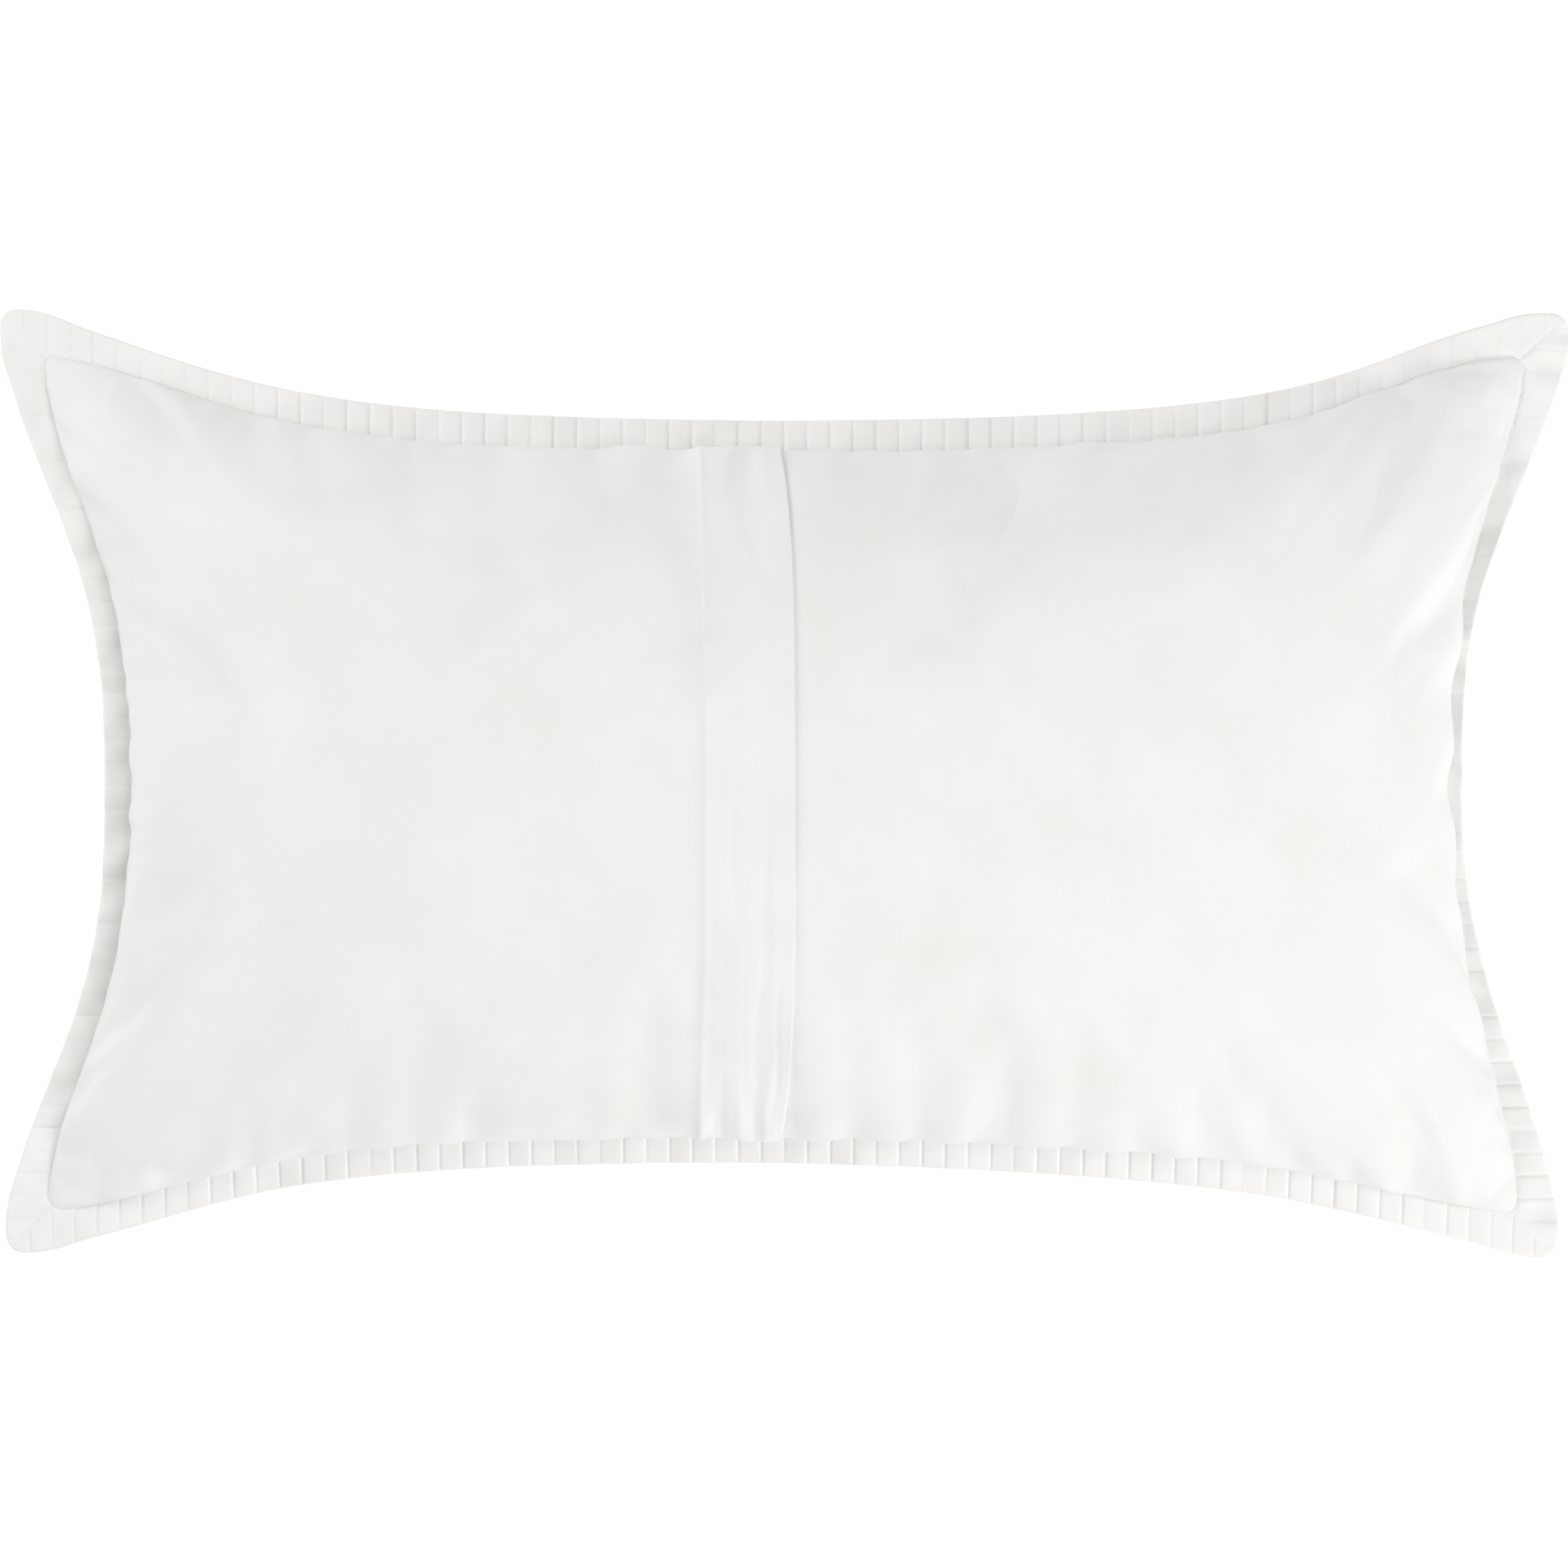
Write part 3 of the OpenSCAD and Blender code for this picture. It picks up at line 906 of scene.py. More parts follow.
@dataclass(frozen=True)
class Wrinkles:
    """The cover's relief over its smooth shape."""

    body: Body
    back_seed: int = 11
    front_seed: int = 61
    lump: float = 1.2 * MM
    lump_size: float = 170 * MM
    small_lump: float = 0.3 * MM
    small_lump_size: float = 75 * MM
    far_pucker: Pucker = Pucker(0.3 * MM, 30 * MM, 2)
    near_pucker: Pucker = Pucker(0.3 * MM, 27 * MM, 3)
    right_pucker: Pucker = Pucker(1.0 * MM, 52 * MM, 4)
    left_pucker: Pucker = Pucker(0.7 * MM, 22 * MM, 5)
    left_gather: Bell = Bell(0.75, -5 * MM, 70 * MM)
    scallop: Bell = Bell(1.2 * MM, 385 * MM, 38 * MM)
    scallop_pitch: float = 13.5 * MM
    dent: Bell = Bell(3.5 * MM, 205 * MM, 20 * MM)

    def at(self, u: Array, v: Array, side: Side) -> Array:
        """Gives the relief's height along the cloth's normal.

        Formula: lumps, which die out towards the seams, puckers and the relief of the far right
        corner, added up. On the front all of it fades out where the pillow is pressed flat.

        Args:
            u: Places along the pillow.
            v: Places across it.
            side: The side of the body.

        Returns:
            The height at each place.
        """
        root_u, root_v = self.body.roots(u, v)
        seed = self.back_seed if side is Side.BACK else self.front_seed
        calm = smooth(1.4 * root_u) * smooth(1.4 * root_v)
        height = calm * self._lumps(u, v, seed) + self._puckers(u, v, seed) + self._far_right(u, v)
        if side is Side.FRONT:
            height = height * (1 - smooth((self.body.flatness * root_u * root_v - 0.7) / 0.35))
        return height

    def _lumps(self, u: Array, v: Array, seed: int) -> Array:
        """Gives the filling's lumps, as a broad and a small field of random waves.

        Args:
            u: Places along the pillow.
            v: Places across it.
            seed: Picks the pattern.

        Returns:
            The height at each place.
        """
        x, y = u * self.body.half_length, v * self.body.half_width
        broad = self.lump * ripple(x, y, self.lump_size, seed)
        return broad + self.small_lump * ripple(x, y, self.small_lump_size, seed + 1)

    def _puckers(self, u: Array, v: Array, seed: int) -> Array:
        """Gives the puckers that run in from each seam.

        Formula: random waves along the seam that fade over a few centimetres, and are strongest
        where the seam bows in most.

        Args:
            u: Places along the pillow.
            v: Places across it.
            seed: Picks the pattern.

        Returns:
            The height at each place.
        """
        x, y = u * self.body.half_length, v * self.body.half_width
        long_side = np.where(v > 0, self.far_pucker.at(x, seed), self.near_pucker.at(x, seed))
        long_side = long_side * (0.3 + 0.7 * (1 - long_rise(u)))
        left = self.left_pucker.at(y, seed) * (0.25 + self.left_gather.at(y))
        short_side = np.where(u > 0, self.right_pucker.at(y, seed), left)
        short_side = short_side * (0.2 + 0.8 * (1 - short_rise(v)))
        return long_side * self._fade(self._from_long(u, v)) + short_side * self._fade(self._from_short(u))

    def _far_right(self, u: Array, v: Array) -> Array:
        """Gives the relief of the far right corner.

        Formula: its long seam is scalloped by the flange's channels, as the size of a sine, and
        its short seam has a dent, a bell each way.

        Args:
            u: Places along the pillow.
            v: Places across it.

        Returns:
            The height at each place.
        """
        x, y = u * self.body.half_length, v * self.body.half_width
        scallops = (np.abs(np.sin(np.pi * x / self.scallop_pitch)) - 0.6) * self.scallop.at(x) * (v > 0)
        dent = self.dent.at(y) * hump(u, 0.985, 0.04)
        return scallops * self._fade(2.2 * self._from_long(u, v)) - dent * self._fade(self._from_short(u))

    def _from_long(self, u: Array, v: Array) -> Array:
        """Gives the distance from the nearer long seam."""
        return (1 - np.abs(v)) * self.body.seam_y(u * self.body.half_length)

    def _from_short(self, u: Array) -> Array:
        """Gives the distance from the nearer short seam."""
        return (1 - np.abs(u)) * self.body.half_length

    @staticmethod
    def _fade(distance: Array) -> Array:
        """Starts from nothing at the seam, peaks a little way in and dies out over 22 mm."""
        return (1 - np.exp(-distance / (2 * MM))) * np.exp(-distance / (22 * MM))


@dataclass(frozen=True)
class Inflation:
    """Cloth simulation of the stuffed cover: slack cloth, sewn round its rim, blown up from inside."""

    body: Body
    wrinkles: Wrinkles
    columns: int = 181
    rows: int = 111
    slack: float = 0.035
    pressure: float = 4.0
    mass: float = 0.15
    stiffness: float = 0.2
    quality: int = 5
    frames: int = 20
    most: float = 6 * MM
    broad_passes: int = 90
    rim: float = 0.05
    corner: tuple[float, float] = (0.22, 0.3)

    def run(self) -> dict[Side, Array]:
        """Runs the simulation and keeps only its wrinkles, as the shape under them is set already.

        Formula: the cloth's movement less its own softened copy, cut off at the most it may be,
        and faded out at the rim and in a quarter ellipse at each corner.
        """
        a = np.linspace(-1, 1, self.columns)[:, None]
        b = np.linspace(-1, 1, self.rows)[None, :]
        start = {side: Surface(self.body, self.wrinkles, side).at(crowd(a), crowd(b)) for side in Side}
        in_a, in_b = 1 - np.abs(a), 1 - np.abs(b)
        kept = smooth(in_a / self.rim) * smooth(in_b / self.rim)
        kept = kept * (1 - np.exp(-((in_a / self.corner[0]) ** 2) - (in_b / self.corner[1]) ** 2))
        fields = {}
        for side, ended in self._simulate(start).items():
            moved = ended - start[side]
            fine = moved - blur(moved, self.broad_passes)
            size = np.linalg.norm(fine, axis=-1, keepdims=True)
            fine = fine * np.minimum(1, self.most / np.maximum(size, 1e-9))
            fields[side] = blur(fine, 1) * kept[..., None]
            LOG.info("simulated wrinkles on the %s: %.2f mm on average", side.name.lower(),
                     np.linalg.norm(fields[side], axis=-1).mean() / MM)
        return fields

    def _simulate(self, start: dict[Side, Array]) -> dict[Side, Array]:
        """Steps Blender's cloth on a closed bag made of both sides.

        The two grids share the points of their rim. The front's own rim points are left over,
        so they are pinned with the rim and put back in their places at the end.

        Args:
            start: Grid of points of each side at the start.

        Returns:
            Grid of points of each side at the end.
        """
        count = self.columns * self.rows
        rim = (np.s_[0, :], np.s_[-1, :], np.s_[:, 0], np.s_[:, -1])
        back = np.arange(count).reshape(self.columns, self.rows)
        front = back + count
        for edge in rim:
            front[edge] = back[edge]
        quads = np.concatenate([cells(back), cells(front)[:, ::-1]])
        vertices = np.concatenate([start[Side.BACK].reshape(-1, 3), start[Side.FRONT].reshape(-1, 3)])
        mesh = bpy.data.meshes.new("stuffed_bag")
        mesh.from_pydata(vertices, [], quads.tolist())
        bag = bpy.data.objects.new("stuffed_bag", mesh)
        bpy.context.scene.collection.objects.link(bag)
        sewn = np.unique(np.concatenate([back[edge] for edge in rim]))
        loose = np.setdiff1d(np.arange(len(vertices)), quads)
        pinned = [int(k) for k in np.union1d(sewn, loose)]
        bag.vertex_groups.new(name="sewn").add(pinned, 1.0, "REPLACE")
        cloth = bag.modifiers.new("cloth", "CLOTH")
        cloth.settings.quality = self.quality
        cloth.settings.mass = self.mass
        cloth.settings.bending_stiffness = self.stiffness
        cloth.settings.use_pressure = True
        cloth.settings.uniform_pressure_force = self.pressure
        cloth.settings.shrink_min = -self.slack
        cloth.settings.vertex_group_mass = "sewn"
        cloth.settings.effector_weights.gravity = 0
        cloth.point_cache.frame_end = self.frames
        scene = bpy.context.scene
        for number in range(1, self.frames + 1):
            scene.frame_set(number)
        settled = bag.evaluated_get(bpy.context.evaluated_depsgraph_get()).to_mesh()
        places = np.empty(len(vertices) * 3, np.float32)
        settled.vertices.foreach_get("co", places)
        places = places.reshape(2, self.columns, self.rows, 3).astype(float)
        scene.frame_set(1)
        bpy.data.objects.remove(bag)
        bpy.data.meshes.remove(mesh)
        for edge in rim:
            places[1][edge] = start[Side.FRONT][edge]
        return {Side.BACK: places[0], Side.FRONT: places[1]}


@dataclass(frozen=True)
class Surface:
    """The outside of one side of the body as it lies, wrinkles and all."""

    body: Body
    wrinkles: Wrinkles
    side: Side
    simulated: Array | None = None
    seam_share: float = 0.3
    seam_reach: float = 0.25

    def normal(self, u: Array, v: Array) -> Array:
        """Finds the outward normal of the smooth shape, square to two short steps each way.

        Args:
            u: Places along the pillow.
            v: Places across it.

        Returns:
            The unit normal at each place.
        """
        step, limit = 1e-3, 1 - 1e-4
        low_u, high_u = np.clip(u - step, -limit, limit), np.clip(u + step, -limit, limit)
        low_v, high_v = np.clip(v - step, -limit, limit), np.clip(v + step, -limit, limit)
        mid_u, mid_v = np.clip(u, -limit, limit), np.clip(v, -limit, limit)
        along = self.body.point(high_u, mid_v, self.side) - self.body.point(low_u, mid_v, self.side)
        across = self.body.point(mid_u, high_v, self.side) - self.body.point(mid_u, low_v, self.side)
        return self.side.value * unit(np.cross(unit(along), unit(across)))

    def at(self, u: Array, v: Array, lift: Array | float = 0.0) -> Array:
        """Places points over the surface.

        Formula: relief and lift are measured along the smooth shape's normal, and the simulated
        wrinkles are added. Towards a seam the lift shrinks to its seam share.

        Args:
            u: Places along the pillow.
            v: Places across it.
            lift: Height over the surface.

        Returns:
            The points.
        """
        u, v = np.broadcast_arrays(u, v)
        root_u, root_v = self.body.roots(u, v)
        free = smooth(root_u / self.seam_reach) * smooth(root_v / self.seam_reach)
        held = self.seam_share + (1 - self.seam_share) * free
        height = self.wrinkles.at(u, v, self.side) + lift * held
        points = self.body.point(u, v, self.side) + self.normal(u, v) * height[..., None]
        if self.simulated is not None:
            points = points + sample(self.simulated, uncrowd(u), uncrowd(v))
        return points


# ---- Cover ----


@dataclass(frozen=True)
class Cover:
    """The cover's front and its two back panels, which overlap as an envelope closure."""

    body: Body
    settle: Settle
    finishes: Finishes
    cloth: float = 0.5 * MM
    hem_middle: float = -47.5 * MM
    hem_end: float = -51.5 * MM
    fold_middle: float = 6.0 * MM
    fold_end: float = -2.5 * MM
    fold_flat: float = 5.0 * MM
    over_hem: float = 55 * MM
    over_radius: float = 0.75 * MM
    under_fold: float = -105 * MM
    under_hem: float = 20 * MM
    under_radius: float = 0.3 * MM
    bend_before: float = 8 * MM
    bend_after: float = 10 * MM
    bend_free: float = 50 * MM
    bend_sewn: float = 185 * MM
    stitch_inset: float = 1.5 * MM
    stitch_pitch: float = 3.0 * MM
    stitch_radius: float = 0.22 * MM
    over_rows: int = 241
    under_rows: int = 201
    creases: tuple[Crease, ...] = (
        Crease(-34 * MM, 122 * MM, -64, 75 * MM, 4.5 * MM, -0.9 * MM),
        Crease(-24 * MM, 132 * MM, -72, 95 * MM, 3.5 * MM, 0.6 * MM),
        Crease(-15 * MM, 112 * MM, -76, 70 * MM, 3.5 * MM, -0.7 * MM),
        Crease(-12 * MM, 178 * MM, 97, 45 * MM, 4.0 * MM, 0.7 * MM),
        Crease(-30 * MM, 184 * MM, 80, 35 * MM, 4.5 * MM, 0.5 * MM),
        Crease(-28 * MM, 45 * MM, 87, 60 * MM, 5.0 * MM, -0.5 * MM),
        Crease(-36 * MM, -35 * MM, 86, 90 * MM, 3.2 * MM, 0.55 * MM),
        Crease(-29 * MM, -20 * MM, 91, 70 * MM, 2.6 * MM, -0.7 * MM),
        Crease(-19 * MM, -75 * MM, 93, 110 * MM, 3.4 * MM, 0.5 * MM),
        Crease(-33 * MM, -95 * MM, 89, 60 * MM, 4.0 * MM, -0.5 * MM),
        Crease(-13 * MM, -90 * MM, 87, 140 * MM, 2.6 * MM, -0.75 * MM),
        Crease(-6 * MM, -75 * MM, 89, 100 * MM, 2.6 * MM, 0.6 * MM),
        Crease(-4 * MM, -130 * MM, 86, 85 * MM, 2.0 * MM, -0.9 * MM),
        Crease(-38 * MM, -172 * MM, 80, 45 * MM, 5.0 * MM, -1.4 * MM),
        Crease(-27 * MM, -168 * MM, 97, 55 * MM, 4.5 * MM, 1.2 * MM),
        Crease(-18 * MM, -178 * MM, 92, 38 * MM, 4.5 * MM, -1.3 * MM),
        Crease(-9 * MM, -165 * MM, 84, 60 * MM, 3.0 * MM, 1.0 * MM),
    )

    def build(self) -> dict[str, bpy.types.Object]:
        """Builds the front, the two back panels and the stitches of their hems.

        Returns:
            The pieces by name.
        """
        wrinkles = Wrinkles(self.body)
        simulated = Inflation(self.body, wrinkles).run()
        back, front = (Surface(self.body, wrinkles, side, simulated[side]) for side in Side)
        pieces = [
            self._front(front),
            self._under(back),
            self._over(back),
            self._under_hem_stitches(back),
            self._over_hem_stitches(back),
        ]
        return {piece.name: piece for piece in pieces}

    def dress(self, pieces: dict[str, bpy.types.Object]) -> None:
        """Bends the over panel and the stitches of its hem with the flap.

        Args:
            pieces: The cover's pieces by name.
        """
        for name in ("over_panel_cloth", "over_hem_stitches"):
            self._bend(pieces[name])

    def hem_x(self, v: Array) -> Array:
        """Gives the hem line's place, which bows slightly towards the fold in the middle."""
        return self.hem_middle + (self.hem_end - self.hem_middle) * v**2

    def fold_x(self, v: Array) -> Array:
        """Gives the folded edge's place, which bellies out except near its sewn ends."""
        return self.fold_middle + (self.fold_end - self.fold_middle) * v**4

    def _bend(self, piece: bpy.types.Object) -> None:
        """Bends a piece at the hem line, most in the middle and not at all near the sewn ends.

        Formula: the flap's share of each point is multiplied by an ease that falls from 1 to 0
        between the free and the sewn distance from the middle.

        Args:
            piece: The piece.
        """
        hinge = next(joint for joint in frame["joints"] if joint["name"] == "flap_open")
        x, _, z = hinge["pos_m"]
        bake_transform(piece, PILLOW, FLAP, start=(x - self.bend_before, 0, z), end=(x + self.bend_after, 0, z))
        count = len(piece.data.vertices)
        places = np.empty(count * 3, np.float32)
        piece.data.vertices.foreach_get("co", places)
        share = np.empty(count, np.float32)
        attribute = piece.data.attributes["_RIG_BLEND"]
        attribute.data.foreach_get("value", share)
        distance = np.abs(places.reshape(-1, 3)[:, 1])
        held = smooth((distance - self.bend_free) / (self.bend_sewn - self.bend_free))
        share *= (1 - held).astype(np.float32)
        attribute.data.foreach_set("value", share)

    def _shell(self, middle: Array) -> tuple[Array, Array]:
        """Gives a middle surface the cloth's thickness and settles it."""
        half = normals_of(middle) * self.cloth / 2
        return closed_sheet(self._laid(middle + half), self._laid(middle - half))

    def _laid(self, points: Array) -> Array:
        """Settles points and keeps them off the surface that the pillow lies on.

        Args:
            points: Points of the cover.

        Returns:
            The points as they lie.
        """
        settled = self.settle.apply(points)
        settled[..., 2] = np.maximum(settled[..., 2], 0.05 * MM)
        return settled

    def _front(self, surface: Surface) -> bpy.types.Object:
        """Makes the front, one whole cloth, from right to left so that it faces down.

        Args:
            surface: The front side.

        Returns:
            The piece.
        """
        u = crowd(np.linspace(1, -1, 201))[:, None]
        v = crowd(np.linspace(-1, 1, 131))[None, :]
        u, v = np.broadcast_arrays(u, v)
        shape = self._shell(surface.at(u, v, -self.cloth / 2))
        uv = np.tile(flat_places(u, v), (2, 1))
        return add_piece("front_cloth", shape, uv, self.finishes.sateen,
                         ("front_panel",))

    def _over_lift(self, x: Array, v: Array) -> Array:
        """Gives the over panel's height over the body.

        Formula: flush at the left, one step up where it crosses the under panel's hidden edge, a
        trough that is deepest in the far half, the stitches' groove and a ridge at its own hem
        line, and a last swell towards the fold. Both lines gape a little where they run into the
        near seam. Steps are eases and the rest are bells.

        Args:
            x: Places along the pillow.
            v: Places across it, from -1 to 1.

        Returns:
            The height at each place.
        """
        hem, fold = self.hem_x(v), self.fold_x(v)
        over_under = smooth((x + 150 * MM) / (45 * MM))
        over_hem = smooth((x - hem) / (3 * MM))
        near_fold = smooth((x - fold + 20 * MM) / (18 * MM))
        steps = 0.85 * MM * over_under + 0.8 * MM * over_hem + 0.9 * MM * near_fold
        groove = 0.5 * MM * hump(x, hem - self.stitch_inset, 1.2 * MM)
        far_half = 0.25 + 0.75 * smooth(2 * v)
        trough = 1.3 * MM * hump(x, hem - 10 * MM, 6 * MM) * far_half * over_under
        ridge = 0.7 * MM * hump(x, hem + 2.5 * MM, 2.5 * MM)
        at_near_seam = hump(v, -0.93, 0.05)
        gape = (2.2 * MM * near_fold + 1.4 * MM * hump(x, hem + 5 * MM, 5 * MM)) * at_near_seam
        return steps + ridge + gape - groove - trough - self.cloth / 2

    def _band(self, x: Array, v: Array) -> Array:
        """Gives the relief of the doubled hem alone.

        Formula: its creases and fine random waves along it, stronger in the near half, and
        puckers along its stitches that fade as a bell to both sides.

        Args:
            x: Places along the pillow.
            v: Places across it, from -1 to 1.

        Returns:
            The height at each place.
        """
        y = v * self.body.seam_y(0.0)
        inside = smooth((x - self.hem_x(v) + 2 * MM) / (4 * MM))
        creased = sum(crease.at(x, y) for crease in self.creases)
        drawn = 0.16 * MM * waves(y, 9 * MM, 31) * hump(x, self.hem_x(v), 6 * MM)
        near_half = 0.4 + 0.6 * smooth((30 * MM - y) / (120 * MM))
        fine = 0.05 * MM * waves(x, 7 * MM, 33) * near_half
        return (creased + fine) * inside + drawn

    def _over_height(self, x: Array, v: Array) -> Array:
        """Gives the height of the over panel with the relief of its hem."""
        return self._over_lift(x, v) + self._band(x, v)

    def _over(self, surface: Surface) -> bpy.types.Object:
        """Makes the over panel.

        Formula: rows of points go out from the left seam to the hem line and on to the fold, a
        half circle turns them round the fold, and they go back under to the hem line, with more
        room in the fold's roll than between the hem's two layers.

        Args:
            surface: The closure side.

        Returns:
            The piece.
        """
        length, radius = self.body.half_length, self.over_radius
        v = crowd(np.linspace(-1, 1, self.over_rows))[None, :]
        hem, fold = self.hem_x(v), self.fold_x(v)
        hem_width = fold - radius - hem
        reach = np.linspace(0, 1, 86)[:, None]
        plain = crowd(-1 + reach * (1 + uncrowd(hem / length))) * length
        band = hem + np.linspace(0, 1, 52)[1:, None] * hem_width
        outer = np.concatenate([plain, band])
        outer_lift = self._over_height(outer, v)
        turn = np.radians(np.linspace(90, -90, 9)[1:-1, None])
        rolled = fold - radius + radius * np.cos(turn)
        rolled_lift = outer_lift[-1:] - radius + radius * np.sin(turn)
        back = np.linspace(1, 0.03, 22)[:, None]
        inner = hem + back * hem_width
        gap = 0.55 * MM + 0.95 * MM * smooth((back - 0.65) / 0.35)
        x = np.concatenate([outer, rolled, inner])
        lift = np.concatenate([outer_lift, rolled_lift, self._over_height(inner, v) - gap])
        travel = np.concatenate([outer, rolled, 2 * fold - inner])
        return self._panel("over_panel_cloth", surface, (x, v, lift), travel,
                           ("back_panel_over", "closure_flap"), body=None)

    def _under_lift(self, x: Array) -> Array:
        """Gives the under panel's height: flush on its own, a little lower beneath the over panel."""
        return -self.cloth / 2 - 0.15 * MM * smooth((6 * MM - x) / (14 * MM))

    def _under(self, surface: Surface) -> bpy.types.Object:
        """Makes the under panel.

        Formula: rows of points go from the hidden hem's edge to the fold, a half circle turns
        them up round it, and they go out over the hem to the right seam.

        Args:
            surface: The closure side.

        Returns:
            The piece.
        """
        length, radius = self.body.half_length, self.under_radius
        v = crowd(np.linspace(-1, 1, self.under_rows))[None, :]
        start = self.under_fold + radius
        hem = start + np.linspace(1, 0, 8)[:, None] * self.under_hem + 0 * v
        turn = np.radians(np.linspace(-90, 90, 7)[1:-1, None]) + 0 * v
        rolled = start - radius * np.cos(turn)
        rolled_lift = self._under_lift(start) - radius + radius * np.sin(turn)
        first = uncrowd(np.array(start / length))
        outer = crowd(first + np.linspace(0, 1, 118)[:, None] * (1 - first)) * length + 0 * v
        x = np.concatenate([hem, rolled, outer])
        lift = np.concatenate([self._under_lift(hem) - 2 * radius, rolled_lift, self._under_lift(outer)])
        travel = np.concatenate([2 * start - hem, rolled, outer])
        return self._panel("under_panel_cloth", surface, (x, v, lift), travel, ("back_panel_under",))

    def _panel(self, name: str, surface: Surface, rows: tuple[Array, Array, Array], travel: Array,
               nodes: tuple[str, ...], body: str | None = PILLOW) -> bpy.types.Object:
        """Makes a back panel from its rows of points.

        Args:
            name: Name of the piece.
            surface: The closure side.
            rows: Places along the pillow, places across it and heights of the points.
            travel: Each point's place along the pillow with the cloth's folds opened out.
            nodes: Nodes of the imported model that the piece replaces.
            body: Body that the piece rides on, or None when it will be bent between two.

        Returns:
            The piece.
        """
        x, v, lift = rows
        v = np.broadcast_to(v, x.shape)
        shape = self._shell(surface.at(x / self.body.half_length, v, lift))
        uv = np.tile(flat_places(travel / self.body.half_length, v), (2, 1))
        return add_piece(name, shape, uv, self.finishes.sateen, nodes, body)

    def _stitch_line(self, surface: Surface, x: Callable[[Array], Array],
                     lift: Callable[[Array, Array], Array]) -> tuple[Array, Array]:
        """Sews one line of stitches across the closure side, just short of both seams.

        Args:
            surface: The closure side.
            x: Gives the line's place along the pillow for each v.
            lift: Gives the cloth's height for each x and v.

        Returns:
            The vertices and quads of the stitches.
        """
        pitch = self.stitch_pitch
        fine = np.linspace(-0.985, 0.985, 2001)
        place = x(fine)
        height = lift(place, fine) + self.cloth / 2
        path = self._laid(surface.at(place / self.body.half_length, fine, height))
        centres, index = evenly(path, pitch, inset=pitch)
        heading = unit(np.gradient(centres, axis=0))
        v = np.interp(index, np.arange(len(fine)), fine)
        normal = surface.normal(x(v) / self.body.half_length, v)
        return stitches(centres, heading, normal, 0.75 * pitch, self.stitch_radius)

    def _over_hem_stitches(self, surface: Surface) -> bpy.types.Object:
        """Makes the visible stitches along the over panel's hem."""
        shape = self._stitch_line(surface, lambda v: self.hem_x(v) - self.stitch_inset, self._over_height)
        return add_stitches("over_hem_stitches", shape, self.finishes.thread, "over_hem_stitching", None)

    def _under_hem_stitches(self, surface: Surface) -> bpy.types.Object:
        """Makes the stitches of the under panel's hidden hem, 2 mm short of the hem's edge.

        Args:
            surface: The closure side.

        Returns:
            The piece.
        """
        place = self.under_fold + self.under_hem - 2 * MM
        shape = self._stitch_line(surface, lambda v: place + 0 * v, lambda x, v: self._under_lift(x))
        return add_stitches("under_hem_stitches", shape, self.finishes.thread, "under_hem_stitching")


# ---- Flange ----


